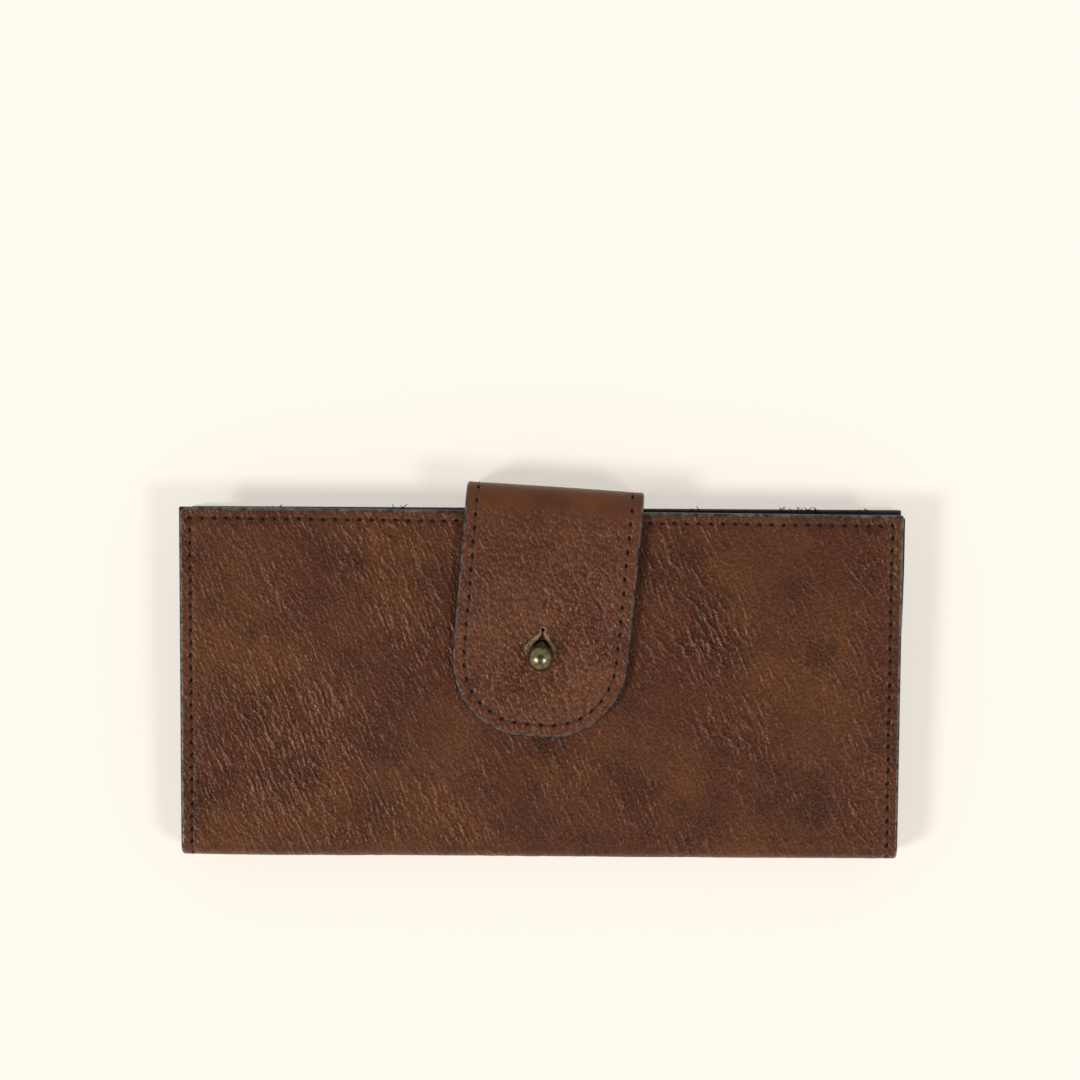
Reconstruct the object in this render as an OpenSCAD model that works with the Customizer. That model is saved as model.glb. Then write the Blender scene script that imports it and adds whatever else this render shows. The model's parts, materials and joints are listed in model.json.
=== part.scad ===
// Long leather wallet, closed and lying on its back cover.
// X runs along the fold, +Y towards the opening edge, +Z up through the front cover.
// The origin is the centre of the back cover's outer face.

/* [Covers] */
// Width along the fold
cover_w = 190; // [186:1:194]
// Height of the back cover, from the fold to the opening edge
cover_h = 92; // [92:0.5:94]
// Thickness of the outer leather
leather_t = 1.4; // [1.3:0.1:1.4]
// Closed thickness at the fold
fold_thickness = 14; // [14:0.5:16]
// Closed thickness at the opening edge
opening_thickness = 17; // [16.5:0.5:20]
// How far the front cover stops short of the back cover's edge
front_setback = 1; // [0.8:0.1:1.5]

/* [Strap and stud] */
// Width of the strap
strap_w = 46.5; // [40:0.5:50]
// Straight length of the strap over the front cover
flap_l = 59; // [56:1:64]
// Corner radius of the strap's free end
flap_corner_r = 20; // [14:1:20]
// How far the strap leans clockwise, in degrees
strap_lean = 4; // [3:0.5:5]
// Diameter of the stud's ball
ball_d = 7; // [6.5:0.5:7]
// Distance of the stud from the fold, along the front cover
stud_v = 52.5; // [48:0.5:53]

/* [Pockets] */
// Rows of card pockets in each column
card_rows = 4; // [3:1:4]
// Step from one card pocket's mouth to the next
card_step = 12; // [10:1:12]
// Distance of the coin pocket's zip from the centre of the back cover
zip_y = 24; // [20:1:24]
// Distance the zip slider travels
zip_travel = 140; // [120:5:140]

/* [Stitching] */
// Length of one stitch and its gap
stitch_pitch = 3.2; // [3:0.1:4]
// Distance of the stitching from the cut edge
stitch_inset = 2.5; // [2.2:0.1:3]

/* [Hidden] */
$fn = 48;

eps = 0.01;          // lets a cutter run past the face it cuts
lining_t = 0.6;
pocket_t = 0.8;      // card pocket leather
panel_t = 1.2;       // bill pocket, slip pocket and coin facing leather
slit_t = 0.3;        // room left inside a flat pocket
cover_corner_r = 1.2;
layer_inset = 1;     // inner layers stop this far inside the covers' edges

// Wedge of the closed wallet, and its two fold axes as [y, z]
wedge = atan((opening_thickness - fold_thickness) / cover_h);
fold_gap = leather_t / 2 + 0.15;
axis_a = [-cover_h / 2 + leather_t / 2, leather_t / 2];
spine_h = (fold_thickness - leather_t) / cos(wedge / 2);
axis_b = axis_a + spine_h * [-sin(wedge / 2), cos(wedge / 2)];

// Back half, as heights above the back cover's outer face
back_edge_y = cover_h / 2;
layer_y0 = axis_a[0] + 1.8;
layer_y1 = back_edge_y - layer_inset;
layer_w = cover_w - 2 * layer_inset;
tail_t = 1.2;
z_stiffener = leather_t;
z_lining = z_stiffener + tail_t;
z_bill = z_lining + lining_t;
z_bag = z_bill + panel_t;
bag_floor_t = 0.4;
bag_rim_h = 1.2;
z_tape = z_bag + bag_floor_t + bag_rim_h;
tape_t = 0.5;
z_facing_top = z_tape + panel_t;

// Coin pocket
coin_w = 178;
coin_y0 = layer_y0 + 3;
coin_y1 = zip_y + 10;
bag_rim_w = 2;
window_l = zip_travel + 14;
window_w = 8;
tape_l = window_l + 8;
tape_w = 18;
tooth_pitch = 3;
tooth = [1.4, 1.6, 1.2];
tooth_gap = 0.35;    // from the zip's centre line to each row of teeth
z_tooth = z_tape + tape_t / 2 - tooth[2] / 2;
slider_l = 9;
slider_w = 6.6;
slider_x = zip_travel / 2;
slider_plate_t = 0.6;
z_slider_low = z_bag + bag_floor_t + 0.1;
z_slider_top = z_tooth + tooth[2] + 0.1;
pull_pin_r = 0.9;
pull_eye_r = 0.95;
z_pull = z_slider_top + slider_plate_t + 0.15;
pull_t = 1;
pull_l = 20;
pull_w = 5.5;

// Front half, in its own frame: v from the fold axis, w outwards from the leather's mid-plane
front_v1 = (back_edge_y - front_setback - axis_b[0]) / cos(wedge);
front_layer_v0 = 1.8;
w_outer = leather_t / 2;
w_lining = -w_outer - lining_t;
w_slip = w_lining - panel_t;
slip_mouth_v = front_v1 - 5;
first_mouth_v = slip_mouth_v - 6;
card = [86.4, 54];
card_column_w = layer_w / 2 - 1;

// Stud
flange_r = 4.25;
flange_t = 0.9;
neck_r = 1.8;
ball_w = w_outer + 6.6;
screw_r = 1.25;
screw_base_r = 4.5;
screw_base_t = 0.8;
stud_y = axis_b[0] + stud_v * cos(wedge) - ball_w * sin(wedge);

// Strap: sections in the plane across the opening edge, as [y, z]
strap_outer_t = 1.4;
strap_lining_t = 1;
strap_t = strap_outer_t + strap_lining_t;
strap_face_y = back_edge_y + 4.9;
root_r = 2.8;
root_c = [strap_face_y - strap_outer_t / 2 - root_r, z_stiffener + tail_t / 2 + root_r];
bend_inner_r = 3;
bend_outer_r = bend_inner_r + strap_t;
flap_w0 = w_outer + 1;
bend_y = strap_face_y - bend_outer_r;
bend_w = flap_w0 - bend_inner_r;
bend_z = axis_b[1] + (bend_w + (bend_y - axis_b[0]) * sin(wedge)) / cos(wedge);
bend_v = (bend_y - axis_b[0]) * cos(wedge) + (bend_z - axis_b[1]) * sin(wedge);
flap_v0 = bend_v - flap_l;
tail_y0 = 20;
key_hole_r = 2.3;
key_slit_w = 1.2;
key_slit_l = 6.6;
key_end_r = 0.8;
strap_stitch_inset = 3;

// Stitches lie in shallow grooves
thread_w = 0.5;
thread_t = 0.4;
groove_w = 0.9;
groove_t = 0.5;
stitch_share = 0.75; // share of the pitch that shows as thread

leather = [0.33, 0.20, 0.15];
strap_leather = [0.38, 0.24, 0.18];
suede = [0.06, 0.05, 0.05];
inner_leather = [0.30, 0.19, 0.14];
thread = [0.15, 0.09, 0.06];
brass = [0.55, 0.44, 0.25];
cotton = [0.10, 0.08, 0.07];
board = [0.25, 0.20, 0.16];

// ---- frames ----

// The closed front half, tilted up from its fold axis
module front_frame() {
    translate([0, axis_b[0], axis_b[1]]) rotate([wedge, 0, 0]) children();
}

// The strap leans about the stud
module strap_frame() {
    translate([0, stud_y, 0]) rotate(-strap_lean) translate([0, -stud_y, 0]) children();
}

// Draws a [y, z] section and extrudes it to a width about x = 0
module across(width) {
    rotate([90, 0, 90]) translate([0, 0, -width / 2]) linear_extrude(width) children();
}

// ---- shared shapes ----

// A flat sheet from y0 to y1, with its two far corners rounded
module sheet(width, y0, y1, thickness, r) {
    linear_extrude(thickness) {
        translate([-width / 2, y0]) square([width, y1 - y0 - r]);
        translate([-width / 2 + r, y0]) square([width - 2 * r, y1 - y0]);
        for (side = [-1, 1]) translate([side * (width / 2 - r), y1 - r]) circle(r);
    }
}

// A ring segment about a centre, between two angles less than 180 degrees apart
module arc_band(centre, r0, r1, a0, a1) {
    reach = 2 * r1;
    translate(centre) intersection() {
        difference() {
            circle(r1);
            circle(r0);
        }
        polygon([
            [0, 0],
            reach * [cos(a0), sin(a0)],
            reach * [cos((a0 + a1) / 2), sin((a0 + a1) / 2)],
            reach * [cos(a1), sin(a1)]
        ]);
    }
}

// The places of the stitches on a straight run, with each stitch laid along it
module along_run(from, to) {
    run = to - from;
    count = floor(norm(run) / stitch_pitch);
    turn = atan2(run[1], run[0]);
    for (i = [0.5 : 1 : count]) translate(from + run * i / count) rotate(turn) children();
}

module one_stitch() {
    length = stitch_pitch * stitch_share;
    translate([-length / 2, -thread_w / 2, 0]) cube([length, thread_w, thread_t]);
}

// Stitches along an open line of corners
module stitch_line(corners) {
    for (i = [1 : len(corners) - 1]) along_run(corners[i - 1], corners[i]) one_stitch();
}

// The groove that a stitch line lies in
module groove_line(corners) {
    for (i = [1 : len(corners) - 1]) {
        run = corners[i] - corners[i - 1];
        translate(corners[i - 1]) rotate(atan2(run[1], run[0]))
            translate([-groove_w / 2, -groove_w / 2, 0])
                cube([norm(run) + groove_w, groove_w, groove_t + eps]);
    }
}

// The line round a cover's two sides and its opening edge
function cover_line(y0, y1) =
    let (x = cover_w / 2 - stitch_inset, top = y1 - stitch_inset)
    [[-x, y0 + 1], [-x, top], [x, top], [x, y0 + 1]];

// The box that holds the strap's tail down
tail_line = let (x = strap_w / 2 - stitch_inset, low = tail_y0 + stitch_inset)
    [[-x, back_edge_y - 6], [-x, low], [x, low], [x, back_edge_y - 6]];

// ---- back half ----

module back_cover() {
    color(leather) difference() {
        sheet(cover_w, axis_a[0] + fold_gap, back_edge_y, leather_t, cover_corner_r);
        translate([0, 0, -eps]) groove_line(cover_line(axis_a[0] + fold_gap, back_edge_y));
        strap_frame() translate([0, 0, -eps]) groove_line(tail_line);
    }
}

module back_stitching() {
    lift = groove_t - thread_t;
    color(thread) {
        translate([0, 0, lift]) stitch_line(cover_line(axis_a[0] + fold_gap, back_edge_y));
        strap_frame() translate([0, 0, lift]) stitch_line(tail_line);
    }
}

// Firm layer between the back cover and its lining, notched for the strap's tail
module back_stiffener() {
    notch_w = strap_w + 0.4;
    color(board) difference() {
        translate([0, 0, z_stiffener]) sheet(layer_w, layer_y0, layer_y1, tail_t, 1);
        strap_frame() translate([-notch_w / 2, tail_y0 - 0.2, z_stiffener - 1])
            cube([notch_w, cover_h, tail_t + 2]);
    }
}

module back_lining() {
    color(suede) translate([0, 0, z_lining]) sheet(layer_w, layer_y0, layer_y1, lining_t, 1);
}

// The strap's sewn end, skived and flat inside the back half
module strap_tail() {
    color(strap_leather) strap_frame() translate([-strap_w / 2, tail_y0, z_stiffener])
        cube([strap_w, root_c[0] - tail_y0, tail_t]);
}

// Full-width pocket for notes, open towards the opening edge
module bill_pocket_panel() {
    mouth = layer_y1 - 6;
    room_w = layer_w - 8;
    color(inner_leather) difference() {
        translate([0, 0, z_bill]) sheet(layer_w, layer_y0, mouth, panel_t, 1);
        translate([-room_w / 2, layer_y0 + 4, z_bill - eps])
            cube([room_w, mouth, slit_t + eps]);
    }
}

// Shallow bag that holds the coins, with a rim that carries the facing
module coin_pocket_bag() {
    inner_w = coin_w - 2 * bag_rim_w;
    inner_h = coin_y1 - coin_y0 - 2 * bag_rim_w;
    color(cotton) difference() {
        translate([0, 0, z_bag]) sheet(coin_w, coin_y0, coin_y1, bag_floor_t + bag_rim_h, 3);
        translate([-inner_w / 2, coin_y0 + bag_rim_w, z_bag + bag_floor_t])
            cube([inner_w, inner_h, bag_rim_h + eps]);
    }
}

function coin_line(inset) =
    let (x = coin_w / 2 - inset, low = coin_y0 + inset, top = coin_y1 - inset)
    [[-x, low], [-x, top], [x, top], [x, low], [-x, low]];

// Leather face of the coin pocket, with the zip's window
module coin_pocket_facing() {
    color(inner_leather) difference() {
        translate([0, 0, z_tape]) sheet(coin_w, coin_y0, coin_y1, panel_t, 3);
        translate([-tape_l / 2 - 0.2, zip_y - tape_w / 2 - 0.2, z_tape - eps])
            cube([tape_l + 0.4, tape_w + 0.4, tape_t + eps]);
        translate([-window_l / 2, zip_y - window_w / 2, z_tape - 1])
            cube([window_l, window_w, panel_t + 2]);
        translate([0, 0, z_facing_top - groove_t]) groove_line(coin_line(2));
    }
}

module coin_pocket_stitching() {
    color(thread) translate([0, 0, z_facing_top - groove_t]) stitch_line(coin_line(2));
}

// Two woven tapes, one on each side of the teeth
module zip_tape() {
    inner = tooth_gap + tooth[1];
    color(cotton) for (side = [-1, 1]) translate([0, zip_y, z_tape]) mirror([0, side < 0 ? 1 : 0, 0])
        translate([-tape_l / 2, inner, 0]) cube([tape_l, tape_w / 2 - inner, tape_t]);
}

// Two rows of metal teeth, set half a pitch apart
module zip_teeth() {
    rows = zip_travel + 8;
    color(brass) for (side = [-1, 1], x = [-rows / 2 : tooth_pitch : rows / 2 - tooth_pitch])
        translate([x + (side + 1) * tooth_pitch / 4, zip_y, z_tooth]) mirror([0, side < 0 ? 1 : 0, 0])
            translate([0, tooth_gap, 0]) cube(tooth);
}

// One stop at each end of the zip
module zip_stops() {
    x = zip_travel / 2 + 5.5;
    color(brass) for (side = [-1, 1]) translate([side * x, zip_y, z_tooth])
        translate([-0.8, -tooth_gap - tooth[1], 0])
            cube([1.6, 2 * (tooth_gap + tooth[1]), tooth[2]]);
}

// ---- zip slider and puller, which move ----

module slider_plate() {
    straight = slider_l - slider_w;
    linear_extrude(slider_plate_t) {
        circle(slider_w / 2);
        translate([0, -slider_w / 2]) square([straight, slider_w]);
        translate([straight, 0]) circle(slider_w / 2);
    }
}

module zip_slider() {
    straight = slider_l - slider_w;
    color(brass) translate([slider_x - straight, zip_y, 0]) {
        translate([0, 0, z_slider_low]) slider_plate();
        translate([0, 0, z_slider_top]) slider_plate();
        translate([straight - 1, -0.25, z_slider_low]) cube([2, 0.5, z_slider_top - z_slider_low + eps]);
        translate([straight, 0, z_slider_top]) cylinder(r = pull_pin_r, h = slider_plate_t + pull_t + 0.3);
        translate([straight, 0, z_pull + pull_t + 0.15]) cylinder(r = 1.6, h = 0.4);
    }
}

// Flat pull that turns on the slider's pin
module zip_puller() {
    color(brass) translate([slider_x, zip_y, z_pull]) difference() {
        linear_extrude(pull_t) {
            circle(pull_w / 2);
            translate([-pull_l + pull_w / 2, -pull_w / 2]) square([pull_l - pull_w / 2, pull_w]);
            translate([-pull_l + pull_w / 2, 0]) circle(pull_w / 2);
        }
        translate([0, 0, -1]) cylinder(r = pull_eye_r, h = pull_t + 2);
        translate([-pull_l + pull_w / 2, 0, -1]) cylinder(r = 1.2, h = pull_t + 2);
    }
}

// ---- spine ----

// The leather between the two folds: each end is round about its fold axis
module spine_leather() {
    color(leather) across(cover_w) {
        translate(axis_a) circle(leather_t / 2);
        translate(axis_b) circle(leather_t / 2);
        translate(axis_a) rotate(wedge / 2) translate([-leather_t / 2, 0]) square([leather_t, spine_h]);
    }
}

module spine_lining() {
    end = 1.6;
    color(suede) across(layer_w) translate(axis_a) rotate(wedge / 2)
        translate([leather_t / 2, end]) square([lining_t, spine_h - 2 * end]);
}

// ---- front half ----

module front_cover() {
    color(leather) front_frame() difference() {
        translate([0, 0, -w_outer]) sheet(cover_w, fold_gap, front_v1, leather_t, cover_corner_r);
        translate([0, 0, w_outer - groove_t]) groove_line(cover_line(fold_gap, front_v1));
        translate([0, stud_v, -leather_t]) cylinder(r = screw_r + 0.1, h = 2 * leather_t);
    }
}

module front_stitching() {
    color(thread) front_frame() translate([0, 0, w_outer - groove_t])
        stitch_line(cover_line(fold_gap, front_v1));
}

module front_lining() {
    color(suede) front_frame() difference() {
        translate([0, 0, w_lining]) sheet(layer_w, front_layer_v0, front_v1 - layer_inset, lining_t, 1);
        translate([0, stud_v, w_lining - 1]) cylinder(r = screw_base_r + 0.2, h = lining_t + 2);
    }
}

// Full-width slip pocket behind the cards
module front_slip_panel() {
    room_w = layer_w - 8;
    color(inner_leather) front_frame() difference() {
        translate([0, 0, w_slip]) sheet(layer_w, front_layer_v0, slip_mouth_v, panel_t, 1);
        translate([-room_w / 2, front_layer_v0 + 4, w_lining - slit_t])
            cube([room_w, slip_mouth_v, slit_t + eps]);
    }
}

function mouth_v(row) = first_mouth_v - (row - 1) * card_step;
function pocket_w(row) = w_slip - row * pocket_t;
// The part of a pocket that the next row leaves in sight
function shown_from(row) = row == card_rows ? front_layer_v0 + 1 : mouth_v(row + 1) + 1;

function pocket_line(row) =
    let (x = card_column_w / 2 - 2)
    [[x, shown_from(row)], [x, mouth_v(row) - 1.5]];

// side is -1 for the left column and 1 for the right, row 1 is the deepest and tallest
module card_pocket(side, row) {
    room_v0 = max(front_layer_v0 + 3, mouth_v(row) - card[1]);
    if (row <= card_rows) color(inner_leather) front_frame()
        translate([side * (layer_w / 2 - card_column_w / 2), 0, pocket_w(row)]) difference() {
            sheet(card_column_w, front_layer_v0, mouth_v(row), pocket_t, 1);
            translate([-card[0] / 2, room_v0, pocket_t - slit_t])
                cube([card[0], mouth_v(row), slit_t + eps]);
            mirror([side > 0 ? 1 : 0, 0, 0]) translate([0, 0, -eps])
                groove_line(pocket_line(row));
        }
}

// Rows of stitches beside the gap between the two columns
module card_pocket_stitching() {
    lift = groove_t - thread_t - 0.1;
    color(thread) front_frame() for (side = [-1, 1], row = [1 : card_rows])
        translate([side * (layer_w / 2 - card_column_w / 2), 0, pocket_w(row) + lift])
            mirror([side > 0 ? 1 : 0, 0, 0]) stitch_line(pocket_line(row));
}

// ---- stud ----

// Ball stud with a flange on the front cover and a threaded hole up its neck
module stud_head() {
    color(brass) front_frame() translate([0, stud_v, 0]) difference() {
        union() {
            translate([0, 0, w_outer]) cylinder(r = flange_r, h = flange_t);
            translate([0, 0, w_outer]) cylinder(r = neck_r, h = ball_w - w_outer);
            translate([0, 0, ball_w]) sphere(d = ball_d);
        }
        cylinder(r = screw_r + 0.05, h = ball_w - 1);
    }
}

module stud_screw() {
    color(brass) front_frame() translate([0, stud_v, 0]) {
        translate([0, 0, -w_outer - screw_base_t]) cylinder(r = screw_base_r, h = screw_base_t);
        translate([0, 0, -w_outer - eps]) cylinder(r = screw_r, h = ball_w - 2);
    }
}

// ---- strap ----

// Outer leather of the loop: up from the tail, past the edge and over to the front
module strap_loop_outer() {
    riser_y = strap_face_y - strap_outer_t;
    color(strap_leather) strap_frame() across(strap_w) {
        arc_band(root_c, root_r - tail_t / 2, root_r + tail_t / 2, -90, 0);
        translate([riser_y, root_c[1]]) square([strap_outer_t, bend_z - root_c[1]]);
        arc_band([bend_y, bend_z], bend_inner_r + strap_lining_t, bend_outer_r, 0, 90 + wedge);
    }
}

module strap_loop_lining() {
    riser_y = strap_face_y - strap_t;
    foot_z = root_c[1] + 2;
    color(suede) strap_frame() across(strap_w) {
        translate([riser_y, foot_z]) square([strap_lining_t, bend_z - foot_z]);
        arc_band([bend_y, bend_z], bend_inner_r, bend_inner_r + strap_lining_t, 0, 90 + wedge);
    }
}

// Outline of the strap over the front cover, drawn inset from its edge
module flap_outline(inset) {
    r = flap_corner_r - inset;
    half = strap_w / 2 - inset;
    low = flap_v0 + inset;
    translate([-half, low + r]) square([2 * half, bend_v - low - r]);
    translate([-half + r, low]) square([2 * (half - r), 2 * r]);
    for (side = [-1, 1]) translate([side * (half - r), low + r]) circle(r);
}

// Hole for the stud's neck, a slit towards the edge and a small hole that ends it
module keyhole() {
    translate([0, stud_v]) {
        circle(key_hole_r);
        translate([-key_slit_w / 2, 0]) square([key_slit_w, key_slit_l]);
        translate([0, key_slit_l]) circle(key_end_r);
    }
}

module flap_layer(w0, thickness) {
    strap_frame() front_frame() translate([0, 0, w0]) linear_extrude(thickness) difference() {
        flap_outline(0);
        keyhole();
    }
}

module strap_flap_outer() {
    w0 = flap_w0 + strap_lining_t;
    color(strap_leather) difference() {
        flap_layer(w0, strap_outer_t);
        strap_frame() front_frame() translate([0, 0, w0 + strap_outer_t - groove_t])
            linear_extrude(groove_t + eps) difference() {
                flap_outline(strap_stitch_inset - groove_w / 2);
                flap_outline(strap_stitch_inset + groove_w / 2);
            }
    }
}

module strap_flap_lining() {
    color(suede) flap_layer(flap_w0, strap_lining_t);
}

// Stitches down one side, round the free end and up the other side
module strap_stitching() {
    r = flap_corner_r - strap_stitch_inset;
    half = strap_w / 2 - strap_stitch_inset;
    low = flap_v0 + strap_stitch_inset;
    arc_l = r * PI / 2;
    arc_count = round(arc_l / stitch_pitch);
    w0 = flap_w0 + strap_t - groove_t;
    color(thread) strap_frame() front_frame() translate([0, 0, w0]) for (side = [-1, 1]) {
        along_run([side * half, low + r], [side * half, bend_v - 1]) one_stitch();
        for (i = [0.5 : 1 : arc_count]) translate([side * (half - r), low + r])
            rotate(-90 + side * 90 * i / arc_count) translate([r, 0]) rotate(90) one_stitch();
    }
}

back_cover();
back_stiffener();
back_lining();
back_stitching();
strap_tail();
bill_pocket_panel();
coin_pocket_bag();
coin_pocket_facing();
coin_pocket_stitching();
zip_tape();
zip_teeth();
zip_stops();
zip_slider();
zip_puller();
spine_leather();
spine_lining();
front_cover();
front_lining();
front_stitching();
front_slip_panel();
card_pocket(-1, 1);  // card_pocket_left_1
card_pocket(-1, 2);  // card_pocket_left_2
card_pocket(-1, 3);  // card_pocket_left_3
card_pocket(-1, 4);  // card_pocket_left_4
card_pocket(1, 1);  // card_pocket_right_1
card_pocket(1, 2);  // card_pocket_right_2
card_pocket(1, 3);  // card_pocket_right_3
card_pocket(1, 4);  // card_pocket_right_4
card_pocket_stitching();
stud_head();
stud_screw();
strap_loop_outer();
strap_loop_lining();
strap_flap_outer();
strap_flap_lining();
strap_stitching();
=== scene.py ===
"""The long wallet's looks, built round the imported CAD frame.

Lengths are in millimetres until a mesh is made. Every leather part is a sheet: an outline in
its own flat coordinates, u across the wallet and s along the part, and a place function that
bends it into the row frame. The flat coordinates stay on the mesh as the attribute "hide".
"""

import json
import math

import bmesh
import bpy
import numpy as np
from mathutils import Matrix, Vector
from mathutils.geometry import delaunay_2d_cdt
from mathutils.kdtree import KDTree


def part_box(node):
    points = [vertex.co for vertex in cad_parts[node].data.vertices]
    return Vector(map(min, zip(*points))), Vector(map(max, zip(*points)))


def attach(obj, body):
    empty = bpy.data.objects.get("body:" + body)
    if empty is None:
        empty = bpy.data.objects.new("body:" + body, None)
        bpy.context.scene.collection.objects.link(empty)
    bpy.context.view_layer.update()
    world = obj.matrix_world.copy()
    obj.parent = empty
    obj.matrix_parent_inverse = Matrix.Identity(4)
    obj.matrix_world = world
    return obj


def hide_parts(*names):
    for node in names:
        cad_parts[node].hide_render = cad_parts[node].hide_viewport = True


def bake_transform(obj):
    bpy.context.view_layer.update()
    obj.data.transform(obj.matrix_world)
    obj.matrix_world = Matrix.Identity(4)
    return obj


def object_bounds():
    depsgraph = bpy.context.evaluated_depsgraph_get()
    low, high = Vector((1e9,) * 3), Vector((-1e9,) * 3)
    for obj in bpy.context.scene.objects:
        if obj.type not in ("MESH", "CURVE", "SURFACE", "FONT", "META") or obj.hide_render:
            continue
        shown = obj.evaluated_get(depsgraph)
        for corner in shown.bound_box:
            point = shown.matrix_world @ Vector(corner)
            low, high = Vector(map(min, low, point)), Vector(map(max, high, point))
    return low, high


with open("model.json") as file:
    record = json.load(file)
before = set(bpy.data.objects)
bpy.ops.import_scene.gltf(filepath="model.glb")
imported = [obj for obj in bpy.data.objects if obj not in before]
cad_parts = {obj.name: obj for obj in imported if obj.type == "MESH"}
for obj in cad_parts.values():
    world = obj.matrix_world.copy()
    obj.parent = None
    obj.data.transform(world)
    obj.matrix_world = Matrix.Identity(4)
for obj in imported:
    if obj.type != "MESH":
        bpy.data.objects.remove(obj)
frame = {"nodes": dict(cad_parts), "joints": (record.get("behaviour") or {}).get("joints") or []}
cad_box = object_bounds()

MM = 0.001


# ---- sizes from the frame ----

def node_box(node):
    """A CAD node's lowest and highest corners, in millimetres."""
    low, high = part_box(node)
    return np.array(low) / MM, np.array(high) / MM


def hinge(name):
    """A joint's place as [y, z] in millimetres, and its axis."""
    joint = next(j for j in frame["joints"] if j["name"] == name)
    return np.array(joint["pos_m"][1:]) / MM, joint["axis"]


cover_low, cover_high = node_box("back_cover")
COVER_W = cover_high[0] - cover_low[0]
LEATHER_T = cover_high[2] - cover_low[2]
OPENING_Y = cover_high[1]
AXIS_A, _ = hinge("spine_fold")
AXIS_B, _ = hinge("front_fold")
SPINE_H = float(np.linalg.norm(AXIS_B - AXIS_A))
HALF_WEDGE = math.atan2(AXIS_A[0] - AXIS_B[0], AXIS_B[1] - AXIS_A[1])
WEDGE = 2 * HALF_WEDGE
FRONT_V1 = (node_box("front_cover")[1][1] - AXIS_B[0]) / math.cos(WEDGE)

FLANGE_R = 4.25
FLANGE_T = 0.9
stud_low, stud_high = node_box("stud_head")
flange_w = (LEATHER_T + FLANGE_T) / 2
STUD_V = ((stud_low[1] + stud_high[1]) / 2 - AXIS_B[0]) / math.cos(WEDGE) + flange_w * math.tan(WEDGE)
BALL_R = 3.5
BALL_W = LEATHER_T / 2 + 6.6
STUD_Y = AXIS_B[0] + STUD_V * math.cos(WEDGE) - BALL_W * math.sin(WEDGE)

# ---- sizes of the design ----

FOLD_R = 3.5            # mid-plane radius of the leather round each fold
STITCH_INSET = 2.9
STITCH_PITCH = 3.2
THREAD_R = 0.15
THREAD_SINK = 0.08      # the cover's and strap's thread starts this far below the grain
AWL_HALF = (0.66, 0.34)         # half length and half width of an awl hole
AWL_CLEAR = 1.5         # nothing further than this from a hole is drawn in by it
BACK_DRIFT = 1.4        # the back's opening edge lies this far towards +X
HALF_T = LEATHER_T / 2
LINING_T = 0.6
PANEL_T = 1.2
POCKET_T = 0.8
TAIL_T = 1.2
LAYER_HALF = COVER_W / 2 - 1
CORNER_R = 0.5          # of square-looking corners

STRAP_LEAN = math.atan2(hinge("strap_root")[1][1], -hinge("strap_root")[1][0])
STRAP_W = 46.5
STRAP_INSET = 3.0
STRAP_PITCH = 3.55
STRAP_LINING_T = 1.0
FLAP_L = 59
FLAP_R = 20
TAIL_Y = 20
ROOT_R = 2.8
RISER_Y = OPENING_Y + 4.9 - HALF_T
ROOT_Y = RISER_Y - ROOT_R
ROOT_Z = LEATHER_T + TAIL_T / 2 + ROOT_R
BEND_R = 3 + STRAP_LINING_T + HALF_T
BEND_Y = RISER_Y - BEND_R
FLAP_W = LEATHER_T + 1 + STRAP_LINING_T         # the flap's mid-plane above the cover's
BEND_Z = AXIS_B[1] + (FLAP_W - BEND_R + (BEND_Y - AXIS_B[0]) * math.sin(WEDGE)) / math.cos(WEDGE)
BEND_V = (BEND_Y - AXIS_B[0]) * math.cos(WEDGE) + (BEND_Z - AXIS_B[1]) * math.sin(WEDGE)

TAPER = 0.0085          # the wallet is this much narrower at the fold
STRAP_TAPER = 0.018     # the strap narrows by this share towards its free end
STRAP_SHEAR = 0.016     # its sides lean this much further than its ends
STRAP_STRETCH = 1.013   # from the stud to the top bend
SKEW = 0.0066           # the front cover's opening edge falls by this share towards +X


# ---- paths: a line in the plane across the fold, of straight runs and arcs ----

class Path:
    """Points are [y, z]. The outward side is on the left of the path, or on the right for side -1."""

    def __init__(self, start, heading, pieces, side):
        self.side = side
        self.pieces = []
        point, s = np.array(start, float), 0.0
        for length, turn in pieces:
            self.pieces.append((s, length, turn, point, heading))
            point = self.piece_point(length, length, turn, point, heading)
            heading += turn
            s += length
        self.length = s

    @staticmethod
    def piece_point(t, length, turn, point, heading):
        t = np.asarray(t, float)
        if turn == 0:
            step = np.stack([t * math.cos(heading), t * math.sin(heading)], -1)
        else:
            radius = length / turn
            now = heading + turn * t / length
            step = radius * np.stack([np.sin(now) - math.sin(heading), math.cos(heading) - np.cos(now)], -1)
        return point + step

    def at(self, s):
        """Points and outward normals at the distances s."""
        s = np.asarray(s, float)
        points, headings = np.zeros(s.shape + (2,)), np.zeros(s.shape)
        for index, (s0, length, turn, point, heading) in enumerate(self.pieces):
            reached = (s >= s0) if index else np.ones(s.shape, bool)
            t = s[reached] - s0
            inside = np.clip(t, 0, length)
            beyond = (t - inside)[:, None]
            now = heading + turn * inside / length
            ahead = np.stack([np.cos(now), np.sin(now)], -1)
            points[reached] = self.piece_point(inside, length, turn, point, heading) + beyond * ahead
            headings[reached] = now
        normals = self.side * np.stack([-np.sin(headings), np.cos(headings)], -1)
        return points, normals


FOLD_TURN = math.pi / 2 - HALF_WEDGE
FOLD_TANGENT = FOLD_R * math.tan(FOLD_TURN / 2)
HALF_SPINE = SPINE_H / 2 - FOLD_TANGENT
FOLD_ARC = FOLD_R * FOLD_TURN
FOLD_END = HALF_SPINE + FOLD_ARC
SPINE_MID = (AXIS_A + AXIS_B) / 2
SPINE_HEADING = math.pi / 2 + HALF_WEDGE

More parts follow.
